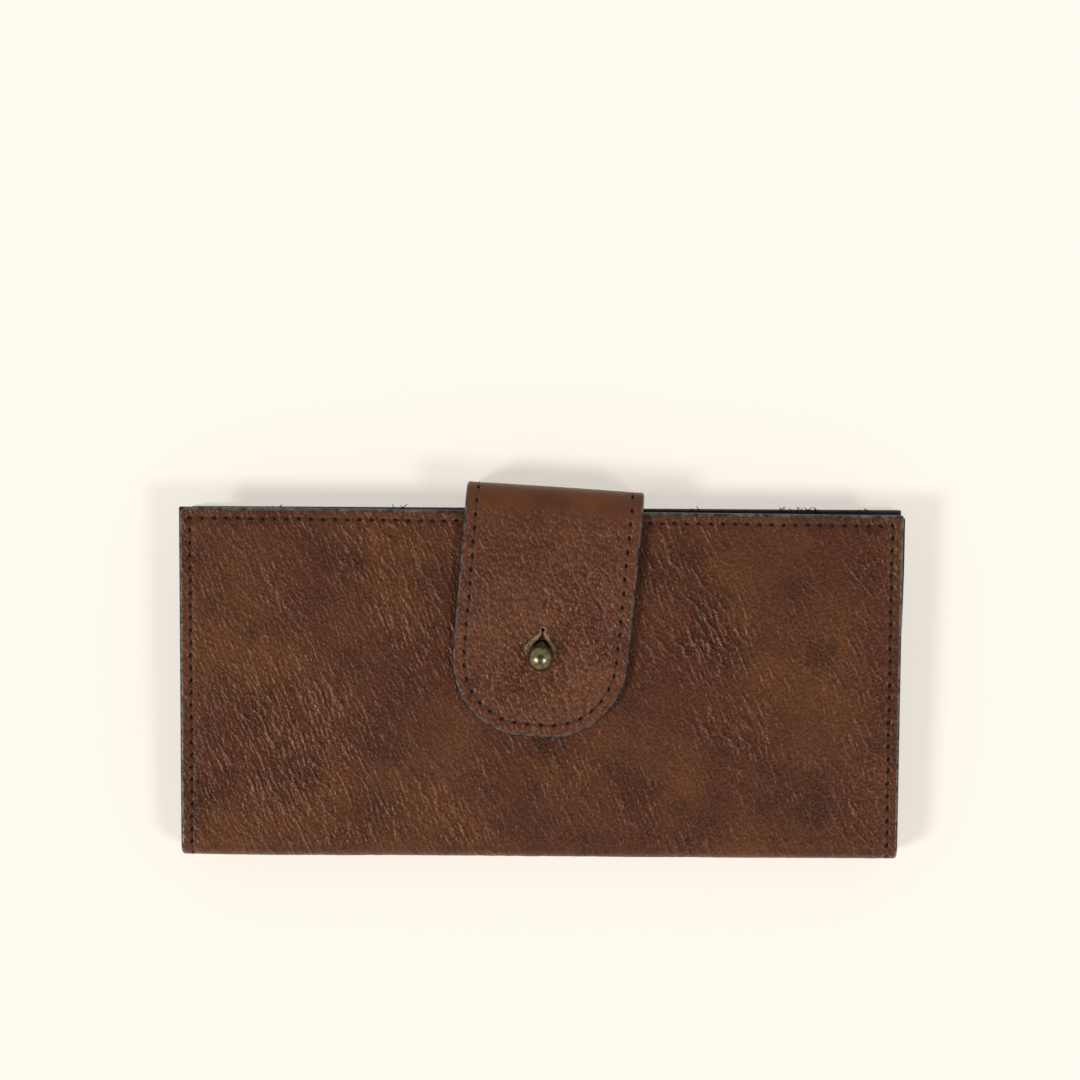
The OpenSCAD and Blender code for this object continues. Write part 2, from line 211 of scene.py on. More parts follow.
front_path = Path(SPINE_MID, SPINE_HEADING,
                  [(HALF_SPINE, 0), (FOLD_ARC, -FOLD_TURN), (FRONT_V1 - FOLD_TANGENT, 0)], 1)
back_path = Path(SPINE_MID, SPINE_HEADING - math.pi,
                 [(HALF_SPINE, 0), (FOLD_ARC, FOLD_TURN), (OPENING_Y - AXIS_A[0] - FOLD_TANGENT, 0)], -1)
strap_path = Path([TAIL_Y, LEATHER_T + TAIL_T / 2], 0,
                  [(ROOT_Y - TAIL_Y, 0), (ROOT_R * math.pi / 2, math.pi / 2), (BEND_Z - ROOT_Z, 0),
                   (BEND_R * (math.pi / 2 + WEDGE), math.pi / 2 + WEDGE), (FLAP_L, 0)], -1)
RISER_S0 = ROOT_Y - TAIL_Y + ROOT_R * math.pi / 2
RISER_S1 = RISER_S0 + BEND_Z - ROOT_Z
FLAP_S0 = RISER_S1 + BEND_R * (math.pi / 2 + WEDGE)
LOOP_S = (RISER_S0 + RISER_S1) / 2      # where the strap's two blended halves meet


def front_s(v):
    """Distance along the front path of a point v from the fold axis."""
    return FOLD_END + v - FOLD_TANGENT


def back_s(y):
    """Distance along the back path of a point at y."""
    return FOLD_END + y - AXIS_A[0] - FOLD_TANGENT


def eased(s, start, end, a, b):
    t = np.clip((s - start) / (end - start), 0, 1)
    return a + (b - a) * t * t * (3 - 2 * t)


def folded(path, skew, drift=0.0):
    """A place function for one half of the wallet, which drifts towards +X at its opening edge."""
    def place(u, s, h):
        beyond = np.clip((s - FOLD_END) / (path.length - FOLD_END), 0, 1)
        points, normals = path.at(s * (1 - skew * beyond * u / (COVER_W / 2)))
        flat = points + normals * np.asarray(h)[..., None]
        across = u * (1 - TAPER * (1 - beyond)) + drift * beyond
        return np.stack([across, flat[..., 0], flat[..., 1]], -1)
    return place


def strap_place(u, s, h):
    """The strap leans about the stud and lifts a little between the bend and the stud."""
    on_flap = np.clip((s - FLAP_S0) / FLAP_L, 0, 1)
    lift = 0.5 * np.sin(np.pi * np.clip(on_flap / 0.66, 0, 1)) ** 2 * (1 - 0.5 * (u / STRAP_W) ** 2)
    curl = 0.45 * np.clip((on_flap - 0.72) / 0.28, 0, 1) ** 2
    points, normals = strap_path.at(s)
    flat = points + normals * (np.asarray(h) + lift + curl)[..., None]
    ahead = (flat[..., 0] - STUD_Y) * STRAP_STRETCH
    turn = math.sin(STRAP_LEAN) * (1 - 0.12 * (1 - on_flap))
    wide = u * (1 - STRAP_TAPER * np.clip(on_flap / 0.8, 0, 1))
    x = wide * math.cos(STRAP_LEAN) + ahead * (math.sin(STRAP_LEAN) + STRAP_SHEAR)
    y = STUD_Y - wide * turn + ahead * math.cos(STRAP_LEAN)
    return np.stack([x, y, flat[..., 1]], -1)


front_place = folded(front_path, SKEW)
back_place = folded(back_path, 0, BACK_DRIFT)


# ---- smooth noise, the same on every run ----

def hashed(ix, iy, seed):
    """A repeatable number from 0 to 1 for each pair of whole numbers."""
    h = (ix * 374761393 + iy * 668265263 + seed * 974634777) & 0xFFFFFFFF
    h = ((h ^ (h >> 13)) * 1274126177) & 0xFFFFFFFF
    return ((h ^ (h >> 16)) & 0xFFFF) / 65535.0


def soft_noise(x, y, seed):
    """Smooth noise from -1 to 1, with features about one unit across."""
    ix, iy = np.floor(x).astype(np.int64), np.floor(y).astype(np.int64)
    fx, fy = x - ix, y - iy
    fx, fy = fx * fx * (3 - 2 * fx), fy * fy * (3 - 2 * fy)
    low = hashed(ix, iy, seed) * (1 - fx) + hashed(ix + 1, iy, seed) * fx
    high = hashed(ix, iy + 1, seed) * (1 - fx) + hashed(ix + 1, iy + 1, seed) * fx
    return 2 * (low * (1 - fy) + high * fy) - 1


def hide_relief(crease, slant, seed):
    """Height of soft leather: a slow swell, and creases that run at a slant."""
    def relief(u, s):
        swell = 0.15 * soft_noise(u / 34, s / 26, seed) + 0.07 * soft_noise(u / 13, s / 12, seed + 1)
        wu = u + 2.4 * soft_noise(u / 10, s / 10, seed + 2)
        ws = s + 2.4 * soft_noise(u / 10, s / 10, seed + 3)
        along = wu * math.cos(slant) + ws * math.sin(slant)
        across = ws * math.cos(slant) - wu * math.sin(slant)
        fold = 1 - 2 * np.abs(soft_noise(along / 6.5, across / 2.1, seed + 4))
        fine = soft_noise(along / 3.2, across / 1.3, seed + 6)
        patch = 0.6 + 0.4 * soft_noise(u / 30, s / 24, seed + 5)
        return swell + crease * patch * (fold + 0.5 * fine)
    return relief


def flat_relief(u, s):
    return 0.03 * soft_noise(u / 16, s / 16, 90)


# ---- meshes ----

def make_object(name, points, faces, materials, numbers=None, face_material=None):
    """An object from points in millimetres. numbers holds attributes, one value or vector a point."""
    mesh = bpy.data.meshes.new(name)
    mesh.from_pydata((np.asarray(points) * MM).tolist(), [], [tuple(map(int, f)) for f in faces])
    for material in materials:
        mesh.materials.append(material)
    for key, values in (numbers or {}).items():
        values = np.asarray(values, np.float32)
        if values.ndim == 2:
            mesh.attributes.new(key, "FLOAT_VECTOR", "POINT").data.foreach_set("vector", values.ravel())
        else:
            mesh.attributes.new(key, "FLOAT", "POINT").data.foreach_set("value", values)
    if face_material is not None:
        mesh.polygons.foreach_set("material_index", np.asarray(face_material, np.int32))
    mesh.polygons.foreach_set("use_smooth", [True] * len(mesh.polygons))
    mesh.validate()
    mesh.update()
    piece = bpy.data.objects.new(name, mesh)
    bpy.context.scene.collection.objects.link(piece)
    return piece


def facing_out(points, faces):
    """The faces, all turned round if the volume inside them comes out negative."""
    fans = np.array([(f[0], f[i], f[i + 1]) for f in faces for i in range(1, len(f) - 1)])
    a, b, c = points[fans[:, 0]], points[fans[:, 1]], points[fans[:, 2]]
    volume = np.einsum("ij,ij->i", a, np.cross(b, c)).sum()
    return faces if volume > 0 else [tuple(f[::-1]) for f in faces]


def around(sides, start=0.0):
    """Evenly spaced angles of a full turn."""
    return start + 2 * math.pi * np.arange(sides) / sides


def ring_faces(rings, sides):
    """Quads between rings of points in turn, and a flat face on the first and last."""
    faces = []
    for k in range(rings - 1):
        for i in range(sides):
            j = (i + 1) % sides
            faces.append((k * sides + i, k * sides + j, (k + 1) * sides + j, (k + 1) * sides + i))
    faces.append(tuple(range(sides))[::-1])
    faces.append(tuple((rings - 1) * sides + i for i in range(sides)))
    return faces


def panel(half_w, s0, s1, r0, r1, step, seam=False):
    """An outline function for a sheet: corner radii r0 at s0 and r1 at s1. A seam keeps the s0 end square."""
    def outline(inset):
        start, end = s0 + (0 if seam else inset), s1 - inset
        corners = [(1, start, r0, -1), (1, end, r1, 1), (-1, end, r1, 1), (-1, start, r0, -1)]
        lengths = [s1 - s0 - r0 - r1, 2 * (half_w - r1), s1 - s0 - r0 - r1, 2 * (half_w - r0)]
        arcs = []
        for order, (side, s, r, way) in enumerate(corners):
            if r == 0:
                arcs.append(np.array([[side * (half_w - inset), s]]))
                continue
            inner = max(r - inset, 0.02)
            count = max(3, int(math.ceil(r * math.pi / 2 / step)))
            angle = (order - 1) * math.pi / 2 + (math.pi / 2) * np.arange(count + 1) / count
            centre = np.array([side * (half_w - inset - inner), s - way * inner])
            arcs.append(centre + inner * np.stack([np.cos(angle), np.sin(angle)], -1))
        points = []
        for order, arc in enumerate(arcs):
            after = arcs[(order + 1) % 4][0]
            count = max(1, int(math.ceil(lengths[order] / step)))
            points += [arc[:-1], arc[-1] + (after - arc[-1]) * (np.arange(count) / count)[:, None]]
        return np.concatenate(points)
    return outline


def inside(points, loop):
    """Which points lie inside a closed loop."""
    result = np.zeros(len(points), bool)
    a, b = loop, np.roll(loop, -1, 0)
    rise = np.where(b[:, 1] == a[:, 1], 1e-9, b[:, 1] - a[:, 1])
    for start in range(0, len(points), 4000):
        p = points[start:start + 4000]
        crosses = (a[None, :, 1] > p[:, None, 1]) != (b[None, :, 1] > p[:, None, 1])
        x = a[None, :, 0] + (p[:, None, 1] - a[None, :, 1]) * ((b[:, 0] - a[:, 0]) / rise)[None]
        result[start:start + 4000] = ((p[:, None, 0] < x) & crosses).sum(1) % 2 == 1
    return result


class Near:
    """Distances to the nearest of some points."""

    def __init__(self, points):
        self.tree = KDTree(max(1, len(points)))
        for index, p in enumerate(points):
            self.tree.insert((p[0], p[1], 0), index)
        self.tree.balance()
        self.count = len(points)

    def find(self, points):
        if not self.count:
            return np.full(len(points), 1e3), np.zeros(len(points), int)
        found = [self.tree.find((p[0], p[1], 0)) for p in points]
        return np.array([f[2] for f in found]), np.array([f[1] for f in found])


def triangles(loops, inner):
    """Triangles inside the first loop and outside the others, as numbers of all the points in order."""
    points = np.concatenate(loops + [inner]) if len(inner) else np.concatenate(loops)
    edges, start = [], len(loops[0])
    for loop in loops[1:]:
        edges += [(start + i, start + (i + 1) % len(loop)) for i in range(len(loop))]
        start += len(loop)
    made = delaunay_2d_cdt([Vector(p) for p in points], edges, [list(range(len(loops[0])))], 1, 1e-7, True)
    origin = [o[0] for o in made[3]]
    faces = np.array([[origin[v] for v in f] for f in made[2] if len(f) == 3], int)
    a, b, c = points[faces[:, 0]], points[faces[:, 1]], points[faces[:, 2]]
    area = np.cross(b - a, c - a)
    faces[area < 0] = faces[area < 0][:, ::-1]
    middle = (a + b + c) / 3
    keep = np.ones(len(faces), bool)
    for loop in loops[1:]:
        keep &= ~inside(middle, loop)
    return faces[keep]


def grid(outline, cuts, step, clear, seed):
    """Jittered points in a triangular pattern, clear of the outline and the cuts."""
    low, high = outline.min(0), outline.max(0)
    lines = []
    for number, y in enumerate(np.arange(low[1] + step / 2, high[1], step * 0.87)):
        x = np.arange(low[0] + step * (0.3 + 0.5 * (number % 2)), high[0], step)
        lines.append(np.stack([x, np.full(len(x), y)], -1))
    points = np.concatenate(lines)
    points += np.random.default_rng(seed).uniform(-0.16, 0.16, points.shape) * step
    points = points[inside(points, outline)]
    distance, _ = Near(np.concatenate([outline] + cuts)).find(points)
    points = points[distance > clear]
    for cut in cuts:
        points = points[~inside(points, cut)]
    return points


RIM_SHARES = (0, 0.04, 0.14, 0.3, 0.5, 0.7, 0.86, 0.96, 1)


def rim_inset(share, rim):
    """How far the rounded edge stands back at a share of the thickness."""
    return rim * (1 - math.sqrt(max(0, 1 - (1 - 2 * share) ** 2)))


def hole_rings(holes):
    """Points round each awl hole, so that the mesh can follow its pit."""
    along, across = np.cos(around(10))[None], np.sin(around(10))[None]
    cos, sin = np.cos(holes[:, 2])[:, None], np.sin(holes[:, 2])[:, None]
    rings = [holes[:, :2]]
    for reach in (0.45, 0.8, 1.05, 1.5):
        a, b = AWL_HALF[0] * reach * along, AWL_HALF[1] * reach * across
        ring = np.stack([holes[:, :1] + a * cos - b * sin, holes[:, 1:2] + a * sin + b * cos], -1)
        rings.append(ring.reshape(-1, 2))
    return np.concatenate(rings)


def pits(flat, holes):
    """How deep in an awl hole each point is, 0 to 1, and how deep the groove of the thread is there."""
    distance, nearest = Near(holes).find(flat)
    away = flat - holes[nearest, :2]
    cos, sin = np.cos(holes[nearest, 2]), np.sin(holes[nearest, 2])
    reach = np.hypot((away[:, 0] * cos + away[:, 1] * sin) / AWL_HALF[0],
                     (away[:, 1] * cos - away[:, 0] * sin) / AWL_HALF[1])
    pit = 1 / (1 + np.exp(np.clip((reach - 0.95) * 9, -60, 60)))
    return np.where(distance < AWL_CLEAR, pit, 0), np.exp(-(distance / 1.3) ** 2) * 0.1


def turned_loops(loops, clockwise):
    """The same closed loops, all run the same way round."""
    first = loops[0]
    is_clockwise = np.cross(first, np.roll(first, -1, 0)).sum() < 0
    return loops if is_clockwise == clockwise else [loop[::-1] for loop in loops]


def sheet(name, outline, place, top, bottom, materials, step=1.2, rim=0.4, relief=flat_relief,
          holes=(), cuts=(), seam=False, seed=1, polish=None):
    """A solid sheet. Its detailed face is at height top, its other face at bottom.

    holes are awl holes as (u, s, angle). cuts are functions that give a loop at a share of the
    thickness. polish gives, from u and s, how smooth the grain is worn.
    """
    rings = [turned_loops([outline(rim_inset(share, rim)) for share in RIM_SHARES], False)]
    rings += [turned_loops([cut(share) for share in RIM_SHARES], True) for cut in cuts]
    top_loops, bottom_loops = [r[0] for r in rings], [r[-1] for r in rings]

    holes = np.array(holes, float).reshape(-1, 3)
    inner_top = grid(top_loops[0], top_loops[1:], step, step * 0.55, seed)
    if len(holes):
        distance, _ = Near(holes).find(inner_top)
        inner_top = np.concatenate([inner_top[distance > 1.05], hole_rings(holes)])
    inner_bottom = grid(bottom_loops[0], bottom_loops[1:], step * 4, step, seed + 1)

    flat, share, offsets, count = [], [], [], 0
    for loops in rings:
        offsets.append(count)
        for ring, ring_share in zip(loops, RIM_SHARES):
            flat.append(ring)
            share.append(np.full(len(ring), ring_share))
            count += len(ring)
    flat = np.concatenate(flat + [inner_top, inner_bottom])
    share = np.concatenate(share + [np.zeros(len(inner_top)), np.ones(len(inner_bottom))])
    u, s = flat[:, 0], flat[:, 1]

    pit, groove = pits(flat, holes) if len(holes) else (np.zeros(len(flat)), 0)
    worn = polish(u, s) if polish else np.zeros(len(flat))
    high = top + np.sign(top - bottom) * (relief(u, s) * (1 - 0.6 * worn) - groove - 0.75 * pit)
    height = high + (bottom - high) * share
    points = place(u, s, height)

    faces, face_material = [], []
    last_ring = len(RIM_SHARES) - 1
    for loops, start, ring, extra, slot, way in (
            (top_loops, count, 0, inner_top, 0, 1),
            (bottom_loops, count + len(inner_top), last_ring, inner_bottom, min(1, len(materials) - 1), -1)):
        numbers = [offset + ring * len(loop) + np.arange(len(loop)) for offset, loop in zip(offsets, loops)]
        numbers = np.concatenate(numbers + [start + np.arange(len(extra))])
        made = numbers[triangles(loops, extra)][:, ::way]
        faces += [tuple(f) for f in made]
        face_material += [slot] * len(made)
    for offset, loop in zip(offsets, top_loops):
        here = np.arange(len(loop))
        after = (here + 1) % len(loop)
        for k in range(last_ring):
            upper = offset + k * len(loop)
            lower = upper + len(loop)
            quads = np.stack([upper + after, upper + here, lower + here, lower + after], -1)
            faces += [tuple(q) for q in quads]
            face_material += [0] * len(loop)
    faces = facing_out(points, faces)

    true_edge = outline(0)
    if seam:
        true_edge = true_edge[true_edge[:, 1] > true_edge[:, 1].min() + 0.3]
    edge, _ = Near(true_edge).find(flat)
    lip = np.full(len(flat), 9.0)
    if cuts:
        lip, _ = Near(np.concatenate(top_loops[1:])).find(flat)
        for loop in top_loops[1:]:
            lip = np.where(inside(flat, loop), -lip, lip)
    numbers = {"hide": np.stack([u, s, height], -1), "edge": edge, "pit": pit, "worn": worn, "lip": lip}
    return make_object(name, points, faces, materials, numbers, face_material)


def tube(points, radii, flatten=1.0, sides=6):
    """Points and faces of a closed tube along a line. flatten squeezes it in height."""
    points = np.asarray(points, float)
    ahead = np.gradient(points, axis=0)
    ahead /= np.linalg.norm(ahead, axis=1)[:, None] + 1e-12
    side = np.cross(ahead, (0, 0, 1))
    side /= np.linalg.norm(side, axis=1)[:, None] + 1e-12
    lift = np.cross(side, ahead)
    angle = around(sides)[None, :, None]
    ring = side[:, None] * np.cos(angle) + flatten * lift[:, None] * np.sin(angle)
    made = (points[:, None] + ring * np.asarray(radii)[:, None, None]).reshape(-1, 3)
    return made, ring_faces(len(points), sides)


class Gather:
    """Collects many small solids into one mesh."""

    def __init__(self):
        self.points, self.faces, self.hide, self.count = [], [], [], 0

    def add(self, points, faces, hide):
        self.points.append(points)
        self.hide.append(hide)
        self.faces += [tuple(v + self.count for v in f) for f in faces]
        self.count += len(points)

    def make(self, name, material):
        points = np.concatenate(self.points)
        return make_object(name, points, self.faces, [material], {"hide": np.concatenate(self.hide)})


# ---- stitching ----

def spaced(points, pitch):
    """Evenly spaced places along a line, from its first point to its last, as (u, s, angle)."""
    points = np.asarray(points, float)
    steps = np.linalg.norm(np.diff(points, axis=0), axis=1)
    total = np.concatenate([[0], np.cumsum(steps)])
    at = np.linspace(0, total[-1], max(2, int(round(total[-1] / pitch)) + 1))
    u, s = np.interp(at, total, points[:, 0]), np.interp(at, total, points[:, 1])
    index = np.clip(np.searchsorted(total, at) - 1, 0, len(steps) - 1)
    ahead = np.diff(points, axis=0)[index]
    return np.stack([u, s, np.arctan2(ahead[:, 1], ahead[:, 0])], -1)


def jitter(holes, seed, turn=0.0):
    """The holes moved and turned a little, as hand work is."""
    rng = np.random.default_rng(seed)
    holes[:, :2] += rng.uniform(-0.09, 0.09, (len(holes), 2))
    if turn:
        holes[:, 2] += rng.uniform(-turn, turn, len(holes))
    return holes


def stitch_rows(corners, seed):
    """Uneven awl holes along joined straight runs. Corners keep one hole."""
    rows = [spaced([a, b], STITCH_PITCH) for a, b in zip(corners[:-1], corners[1:])]
    holes = np.concatenate([row[:-1] for row in rows[:-1]] + [rows[-1]])
    return jitter(holes, seed, 0.12)


def stitches(name, rows, place, top, outward, material):
    """Thread from each hole to the next, dipping into the holes. outward is +1 or -1 along the height."""
    thread = Gather()
    t = np.linspace(0, 1, 8)
    for row in rows:
        for number, (a, b) in enumerate(zip(row[:-1], row[1:])):
            line = a[:2] + (b[:2] - a[:2]) * t[:, None]
            length = np.linalg.norm((b - a)[:2])
            normal = np.array([-(b - a)[1], (b - a)[0]]) / (length + 1e-9)
            line = line + 0.1 * np.cos(math.pi * t)[:, None] * normal
            lift = -0.55 + 0.62 * np.sin(math.pi * t) ** 0.75
            flat = np.concatenate([line, (top + outward * lift)[:, None]], 1)
            points, faces = tube(flat, np.full(8, THREAD_R), 0.8)
            placed = place(points[:, 0], points[:, 1], points[:, 2])
            hide = [np.repeat(t * length, 6), np.tile(around(6), 8), np.full(len(points), number)]
            hide = np.stack(hide, -1)
            thread.add(placed, facing_out(placed, faces), hide)
    return thread.make(name, material)


# ---- materials ----

class Look:
    """A node material on a Principled shader. Coordinates are the flat ones in mm, or the object's own."""

    def __init__(self, name, own=False, **sockets):
        self.material = bpy.data.materials.new(name)
        self.material.use_nodes = True
        self.tree = self.material.node_tree
        self.shader = self.tree.nodes["Principled BSDF"]
        for key, value in sockets.items():
            self.set(self.shader.inputs[key.replace("_", " ")], value)
        if own:
            place = self.add("ShaderNodeTexCoord").outputs["Object"]
            self.flat = self.vector("MULTIPLY", place, (1 / MM, 1 / MM, 1 / MM))
        else:
            self.flat = self.attribute("hide", "Vector")

    def set(self, socket, value):
        if isinstance(value, bpy.types.NodeSocket):
            self.tree.links.new(value, socket)
        else:
            socket.default_value = value

    def add(self, kind, **properties):
        node = self.tree.nodes.new(kind)
        for key, value in properties.items():
            setattr(node, key, value)
        return node

    def attribute(self, name, output="Fac"):
        return self.add("ShaderNodeAttribute", attribute_name=name).outputs[output]

    def maths(self, operation, *values):
        node = self.add("ShaderNodeMath", operation=operation)
        for socket, value in zip(node.inputs, values):
            self.set(socket, value)
        return node.outputs[0]

    def vector(self, operation, *values):
        node = self.add("ShaderNodeVectorMath", operation=operation)
        for socket, value in zip(node.inputs, values):
            self.set(socket, value)
        return node.outputs[0]

    def times(self, a, b):
        return self.maths("MULTIPLY", a, b)

    def plus(self, a, b):
        return self.maths("ADD", a, b)

    def along(self, vector, axis):
        """One part of a vector."""
        node = self.add("ShaderNodeSeparateXYZ")
        self.set(node.inputs[0], vector)
        return node.outputs[axis]

    def placed(self, vector, turn=0.0, scale=(1, 1, 1), shift=(0, 0, 0)):
        """The coordinates turned about the sheet's normal, then scaled."""
        turned = self.add("ShaderNodeVectorRotate", rotation_type="Z_AXIS")
        self.set(turned.inputs["Vector"], self.vector("ADD", vector, shift))
        self.set(turned.inputs["Angle"], turn)
        return self.vector("MULTIPLY", turned.outputs[0], scale)

    def noise(self, vector, scale, detail=2.0, rough=0.5, colour=False):
        node = self.add("ShaderNodeTexNoise", noise_dimensions="3D")
        for key, value in (("Vector", vector), ("Scale", scale), ("Detail", detail), ("Roughness", rough)):
            self.set(node.inputs[key], value)
        return node.outputs["Color" if colour else "Fac"]

    def cells(self, vector):
        """Distance from the middles of soft cells about one unit across."""
        node = self.add("ShaderNodeTexVoronoi", voronoi_dimensions="2D", feature="SMOOTH_F1")
        self.set(node.inputs["Vector"], vector)
        self.set(node.inputs["Scale"], 1.0)
        return node.outputs["Distance"]

    def span(self, value, low, high, to_low=0.0, to_high=1.0):
        """value eased from low..high to to_low..to_high, and held at the ends."""
        node = self.add("ShaderNodeMapRange", interpolation_type="SMOOTHSTEP")
        for socket, number in zip(node.inputs, (value, low, high, to_low, to_high)):
            self.set(socket, number)
        return node.outputs[0]

    def mix(self, share, a, b):
        """Colour a to colour b by share."""
        node = self.add("ShaderNodeMix", data_type="RGBA")
        self.set(node.inputs[0], share)
        for socket, value in ((node.inputs[6], a), (node.inputs[7], b)):
            self.set(socket, value if isinstance(value, bpy.types.NodeSocket) else (*value, 1))
        return node.outputs[2]

    def blend(self, share, a, b):
        """Number a to number b by share."""
        node = self.add("ShaderNodeMix", data_type="FLOAT")
        for socket, value in ((node.inputs[0], share), (node.inputs[2], a), (node.inputs[3], b)):
            self.set(socket, value)
        return node.outputs[0]

    def warp(self, vector, scale, amount):
        """The coordinates pushed about by a slow noise."""
        push = self.vector("SUBTRACT", self.noise(vector, scale, 2.0, colour=True), (0.5, 0.5, 0.5))
        return self.vector("ADD", vector, self.vector("MULTIPLY", push, (amount, amount, 0)))

    def near(self, vector, point, reach):
        """1 at the point, easing to 0 at reach."""
        node = self.add("ShaderNodeVectorMath", operation="DISTANCE")
        self.set(node.inputs[0], vector)
        self.set(node.inputs[1], point)
        return self.span(node.outputs["Value"], 0.0, reach, 1.0, 0.0)

    def shaded(self, colour, share):
        """The colour scaled by a number."""
        node = self.add("ShaderNodeCombineXYZ")
        for socket in node.inputs:
            self.set(socket, share)
        return self.vector("MULTIPLY", colour, node.outputs[0])

    def finish(self, colour, rough, height=None, depth=0.1):
        """depth is in millimetres for a height of 1."""
        self.set(self.shader.inputs["Base Color"], colour)
        self.set(self.shader.inputs["Roughness"], rough)
        if height is not None:
            bump = self.add("ShaderNodeBump")
            self.set(bump.inputs["Height"], height)
            self.set(bump.inputs["Distance"], depth * MM)
            self.set(bump.inputs["Strength"], 1.0)
            self.set(self.shader.inputs["Normal"], bump.outputs[0])
        return self.material


def wrinkled(look, flat, slant, pitch, length, wander, shift=(0, 0, 0)):
    """Broken lines pitch apart: where across a line each place is, 0 to 1, and how far it is raised."""
    bent = look.warp(look.warp(look.vector("ADD", flat, shift), 0.05, wander), 0.9 / pitch, pitch * 0.85)
    across = look.along(look.placed(bent, slant), 1)
    phase = look.maths("FRACT", look.maths("DIVIDE", across, pitch))
    broken = look.noise(look.placed(bent, slant, (1 / length, 1.1 / pitch, 1), (9, 4, 0)), 1.0, 1.0)
    return phase, look.span(broken, 0.42, 0.6)


def leather(name, colours, slant, heights, gloss, rubbed=(), paint=0.8, lips=False, coarse=1.0):
    """Pull-up leather: slanted wrinkles over pebbles, colour patches, edge paint, painted shade beside the
    wrinkles, between the pebbles and in the awl holes, and a painted highlight along the wrinkles' crests.

    colours are the dark, middle and warm ones. heights are the wrinkles', fine creases' and pebbles', in
    millimetres. rubbed lists the places, as (u, s, reach), where the hide is glossy and its wrinkles, with
    their painted shade and highlight, stand out. paint is the width of the edge paint, lips says whether cuts
    show raw sides, and coarse scales the pebbles.
    """
    dark, middle, warm = colours
    wrinkle, crease, pebble = heights
    look = Look(name, Specular_IOR_Level=0.3, Specular_Tint=(1, 0.69, 0.55, 1))
    flat = look.vector("MULTIPLY", look.flat, (1, 1, 0.25))
    worn = look.attribute("worn")
    strong = look.span(look.noise(flat, 0.04, 2.0), 0.36, 0.66, 0.22, 0.68)
    for u, s, reach in rubbed:
        strong = look.maths("MAXIMUM", strong, look.near(flat, (u, s, 0), reach))
    strong = look.times(strong, look.span(worn, 0.0, 0.8, 1.0, 0.0))

    phase, raised = wrinkled(look, flat, slant, 2.7, 5.0, 11.0)
    fine_phase, fine_raised = wrinkled(look, flat, slant + 0.22, 1.35, 2.4, 5.0, (41, 23, 0))
    raised, fine_raised = look.times(raised, strong), look.times(fine_raised, strong)
    crest = look.times(look.span(phase, 0.22, 0.5), look.span(phase, 0.5, 0.66, 1.0, 0.0))
    crest = look.times(crest, raised)
    fine_crest = look.times(look.span(fine_phase, 0.2, 0.5), look.span(fine_phase, 0.5, 0.7, 1.0, 0.0))
    fine_crest = look.times(fine_crest, fine_raised)
    cells = look.cells(look.warp(look.placed(flat, slant, (0.95 / coarse, 1.35 / coarse, 1)), 0.9, 0.5))
    pebbles = look.span(cells, 0.05, 0.62, 1.0, 0.0)
    speck = look.noise(flat, 1.5, 2.0, 0.6)

    height = look.times(crest, wrinkle)
    height = look.plus(height, look.times(fine_crest, crease))
    height = look.plus(height, look.times(pebbles, pebble))
    height = look.plus(height, look.times(speck, 0.05))
    height = look.times(height, look.span(worn, 0.0, 1.0, 1.0, 0.25))

    patches = look.noise(flat, 0.03, 3.0, 0.6)
    dark_patches = look.noise(look.vector("ADD", flat, (70, 30, 0)), 0.05, 3.0, 0.62)
    colour = look.mix(look.span(patches, 0.36, 0.68), middle, warm)
    colour = look.mix(look.span(dark_patches, 0.44, 0.72, 0.0, 0.75), colour, dark)
    # Painted shade: darker on the side of each wrinkle away from the light, painted light and shade on the
    # two sides of the fine creases, and darker between the pebbles; speck adds random tone.
    hollow_shade = look.times(look.span(phase, 0.54, 0.68), look.span(phase, 0.68, 0.98, 1.0, 0.0))
    shade = look.plus(look.times(look.times(hollow_shade, raised), -0.48), 1.0)
    fine_shade = look.times(look.span(fine_phase, 0.45, 0.7, 0.5, -0.38), fine_raised)
    shade = look.times(shade, look.plus(fine_shade, 1.0))
    shade = look.times(shade, look.span(pebbles, 0.0, 1.0, 0.84, 1.08))
    shade = look.times(shade, look.span(speck, 0.28, 0.72, 0.74, 1.26))
    colour = look.shaded(colour, look.blend(worn, shade, 1.05))
    # Painted highlight: a warm light streak along each wrinkle's crest and lit side.
    painted_highlight = look.times(look.span(phase, 0.36, 0.47), look.span(phase, 0.47, 0.56, 1.0, 0.0))
    colour = look.mix(look.times(look.times(painted_highlight, raised), 0.36), colour, (0.27, 0.155, 0.1))
    rough = look.span(strong, 0.2, 1.0, gloss + 0.1, gloss)
    rough = look.plus(rough, look.span(pebbles, 0.0, 1.0, 0.08, 0.0))

    ragged = look.span(look.noise(flat, 1.3, 3.0), 0.2, 0.8, -0.16, 0.16)
    painted = look.span(look.plus(look.attribute("edge"), ragged), paint - 0.2, paint + 0.2, 1.0, 0.0)
    # Edge paint from near black to light grey at random: paint tone, lightened as a painted sheen.
    paint_tone_and_sheen = look.span(look.noise(flat, 0.5, 3.0), 0.3, 0.7)
    colour = look.mix(painted, colour, look.mix(paint_tone_and_sheen, (0.016, 0.015, 0.0145), (0.12, 0.108, 0.094)))
    rough = look.blend(painted, rough, 0.27)
    height = look.times(height, look.span(painted, 0.0, 1.0, 1.0, 0.2))
    if lips:
        ragged = look.span(look.noise(flat, 2.2, 2.0), 0.2, 0.8, -0.12, 0.12)
        raw = look.span(look.plus(look.attribute("lip"), ragged), 0.0, 0.14, 1.0, 0.0)
        raw_colour = look.mix(look.noise(flat, 2.5, 3.0), (0.2, 0.12, 0.07), (0.46, 0.3, 0.19))
        colour = look.mix(raw, colour, raw_colour)
        rough = look.blend(raw, rough, 0.85)
    # The awl holes are painted near black as the shade inside them.
    pit = look.attribute("pit")
    colour = look.mix(look.span(pit, 0.12, 0.6), colour, (0.004, 0.003, 0.002))
    return look.finish(colour, look.blend(pit, rough, 0.9), height, 1.0)


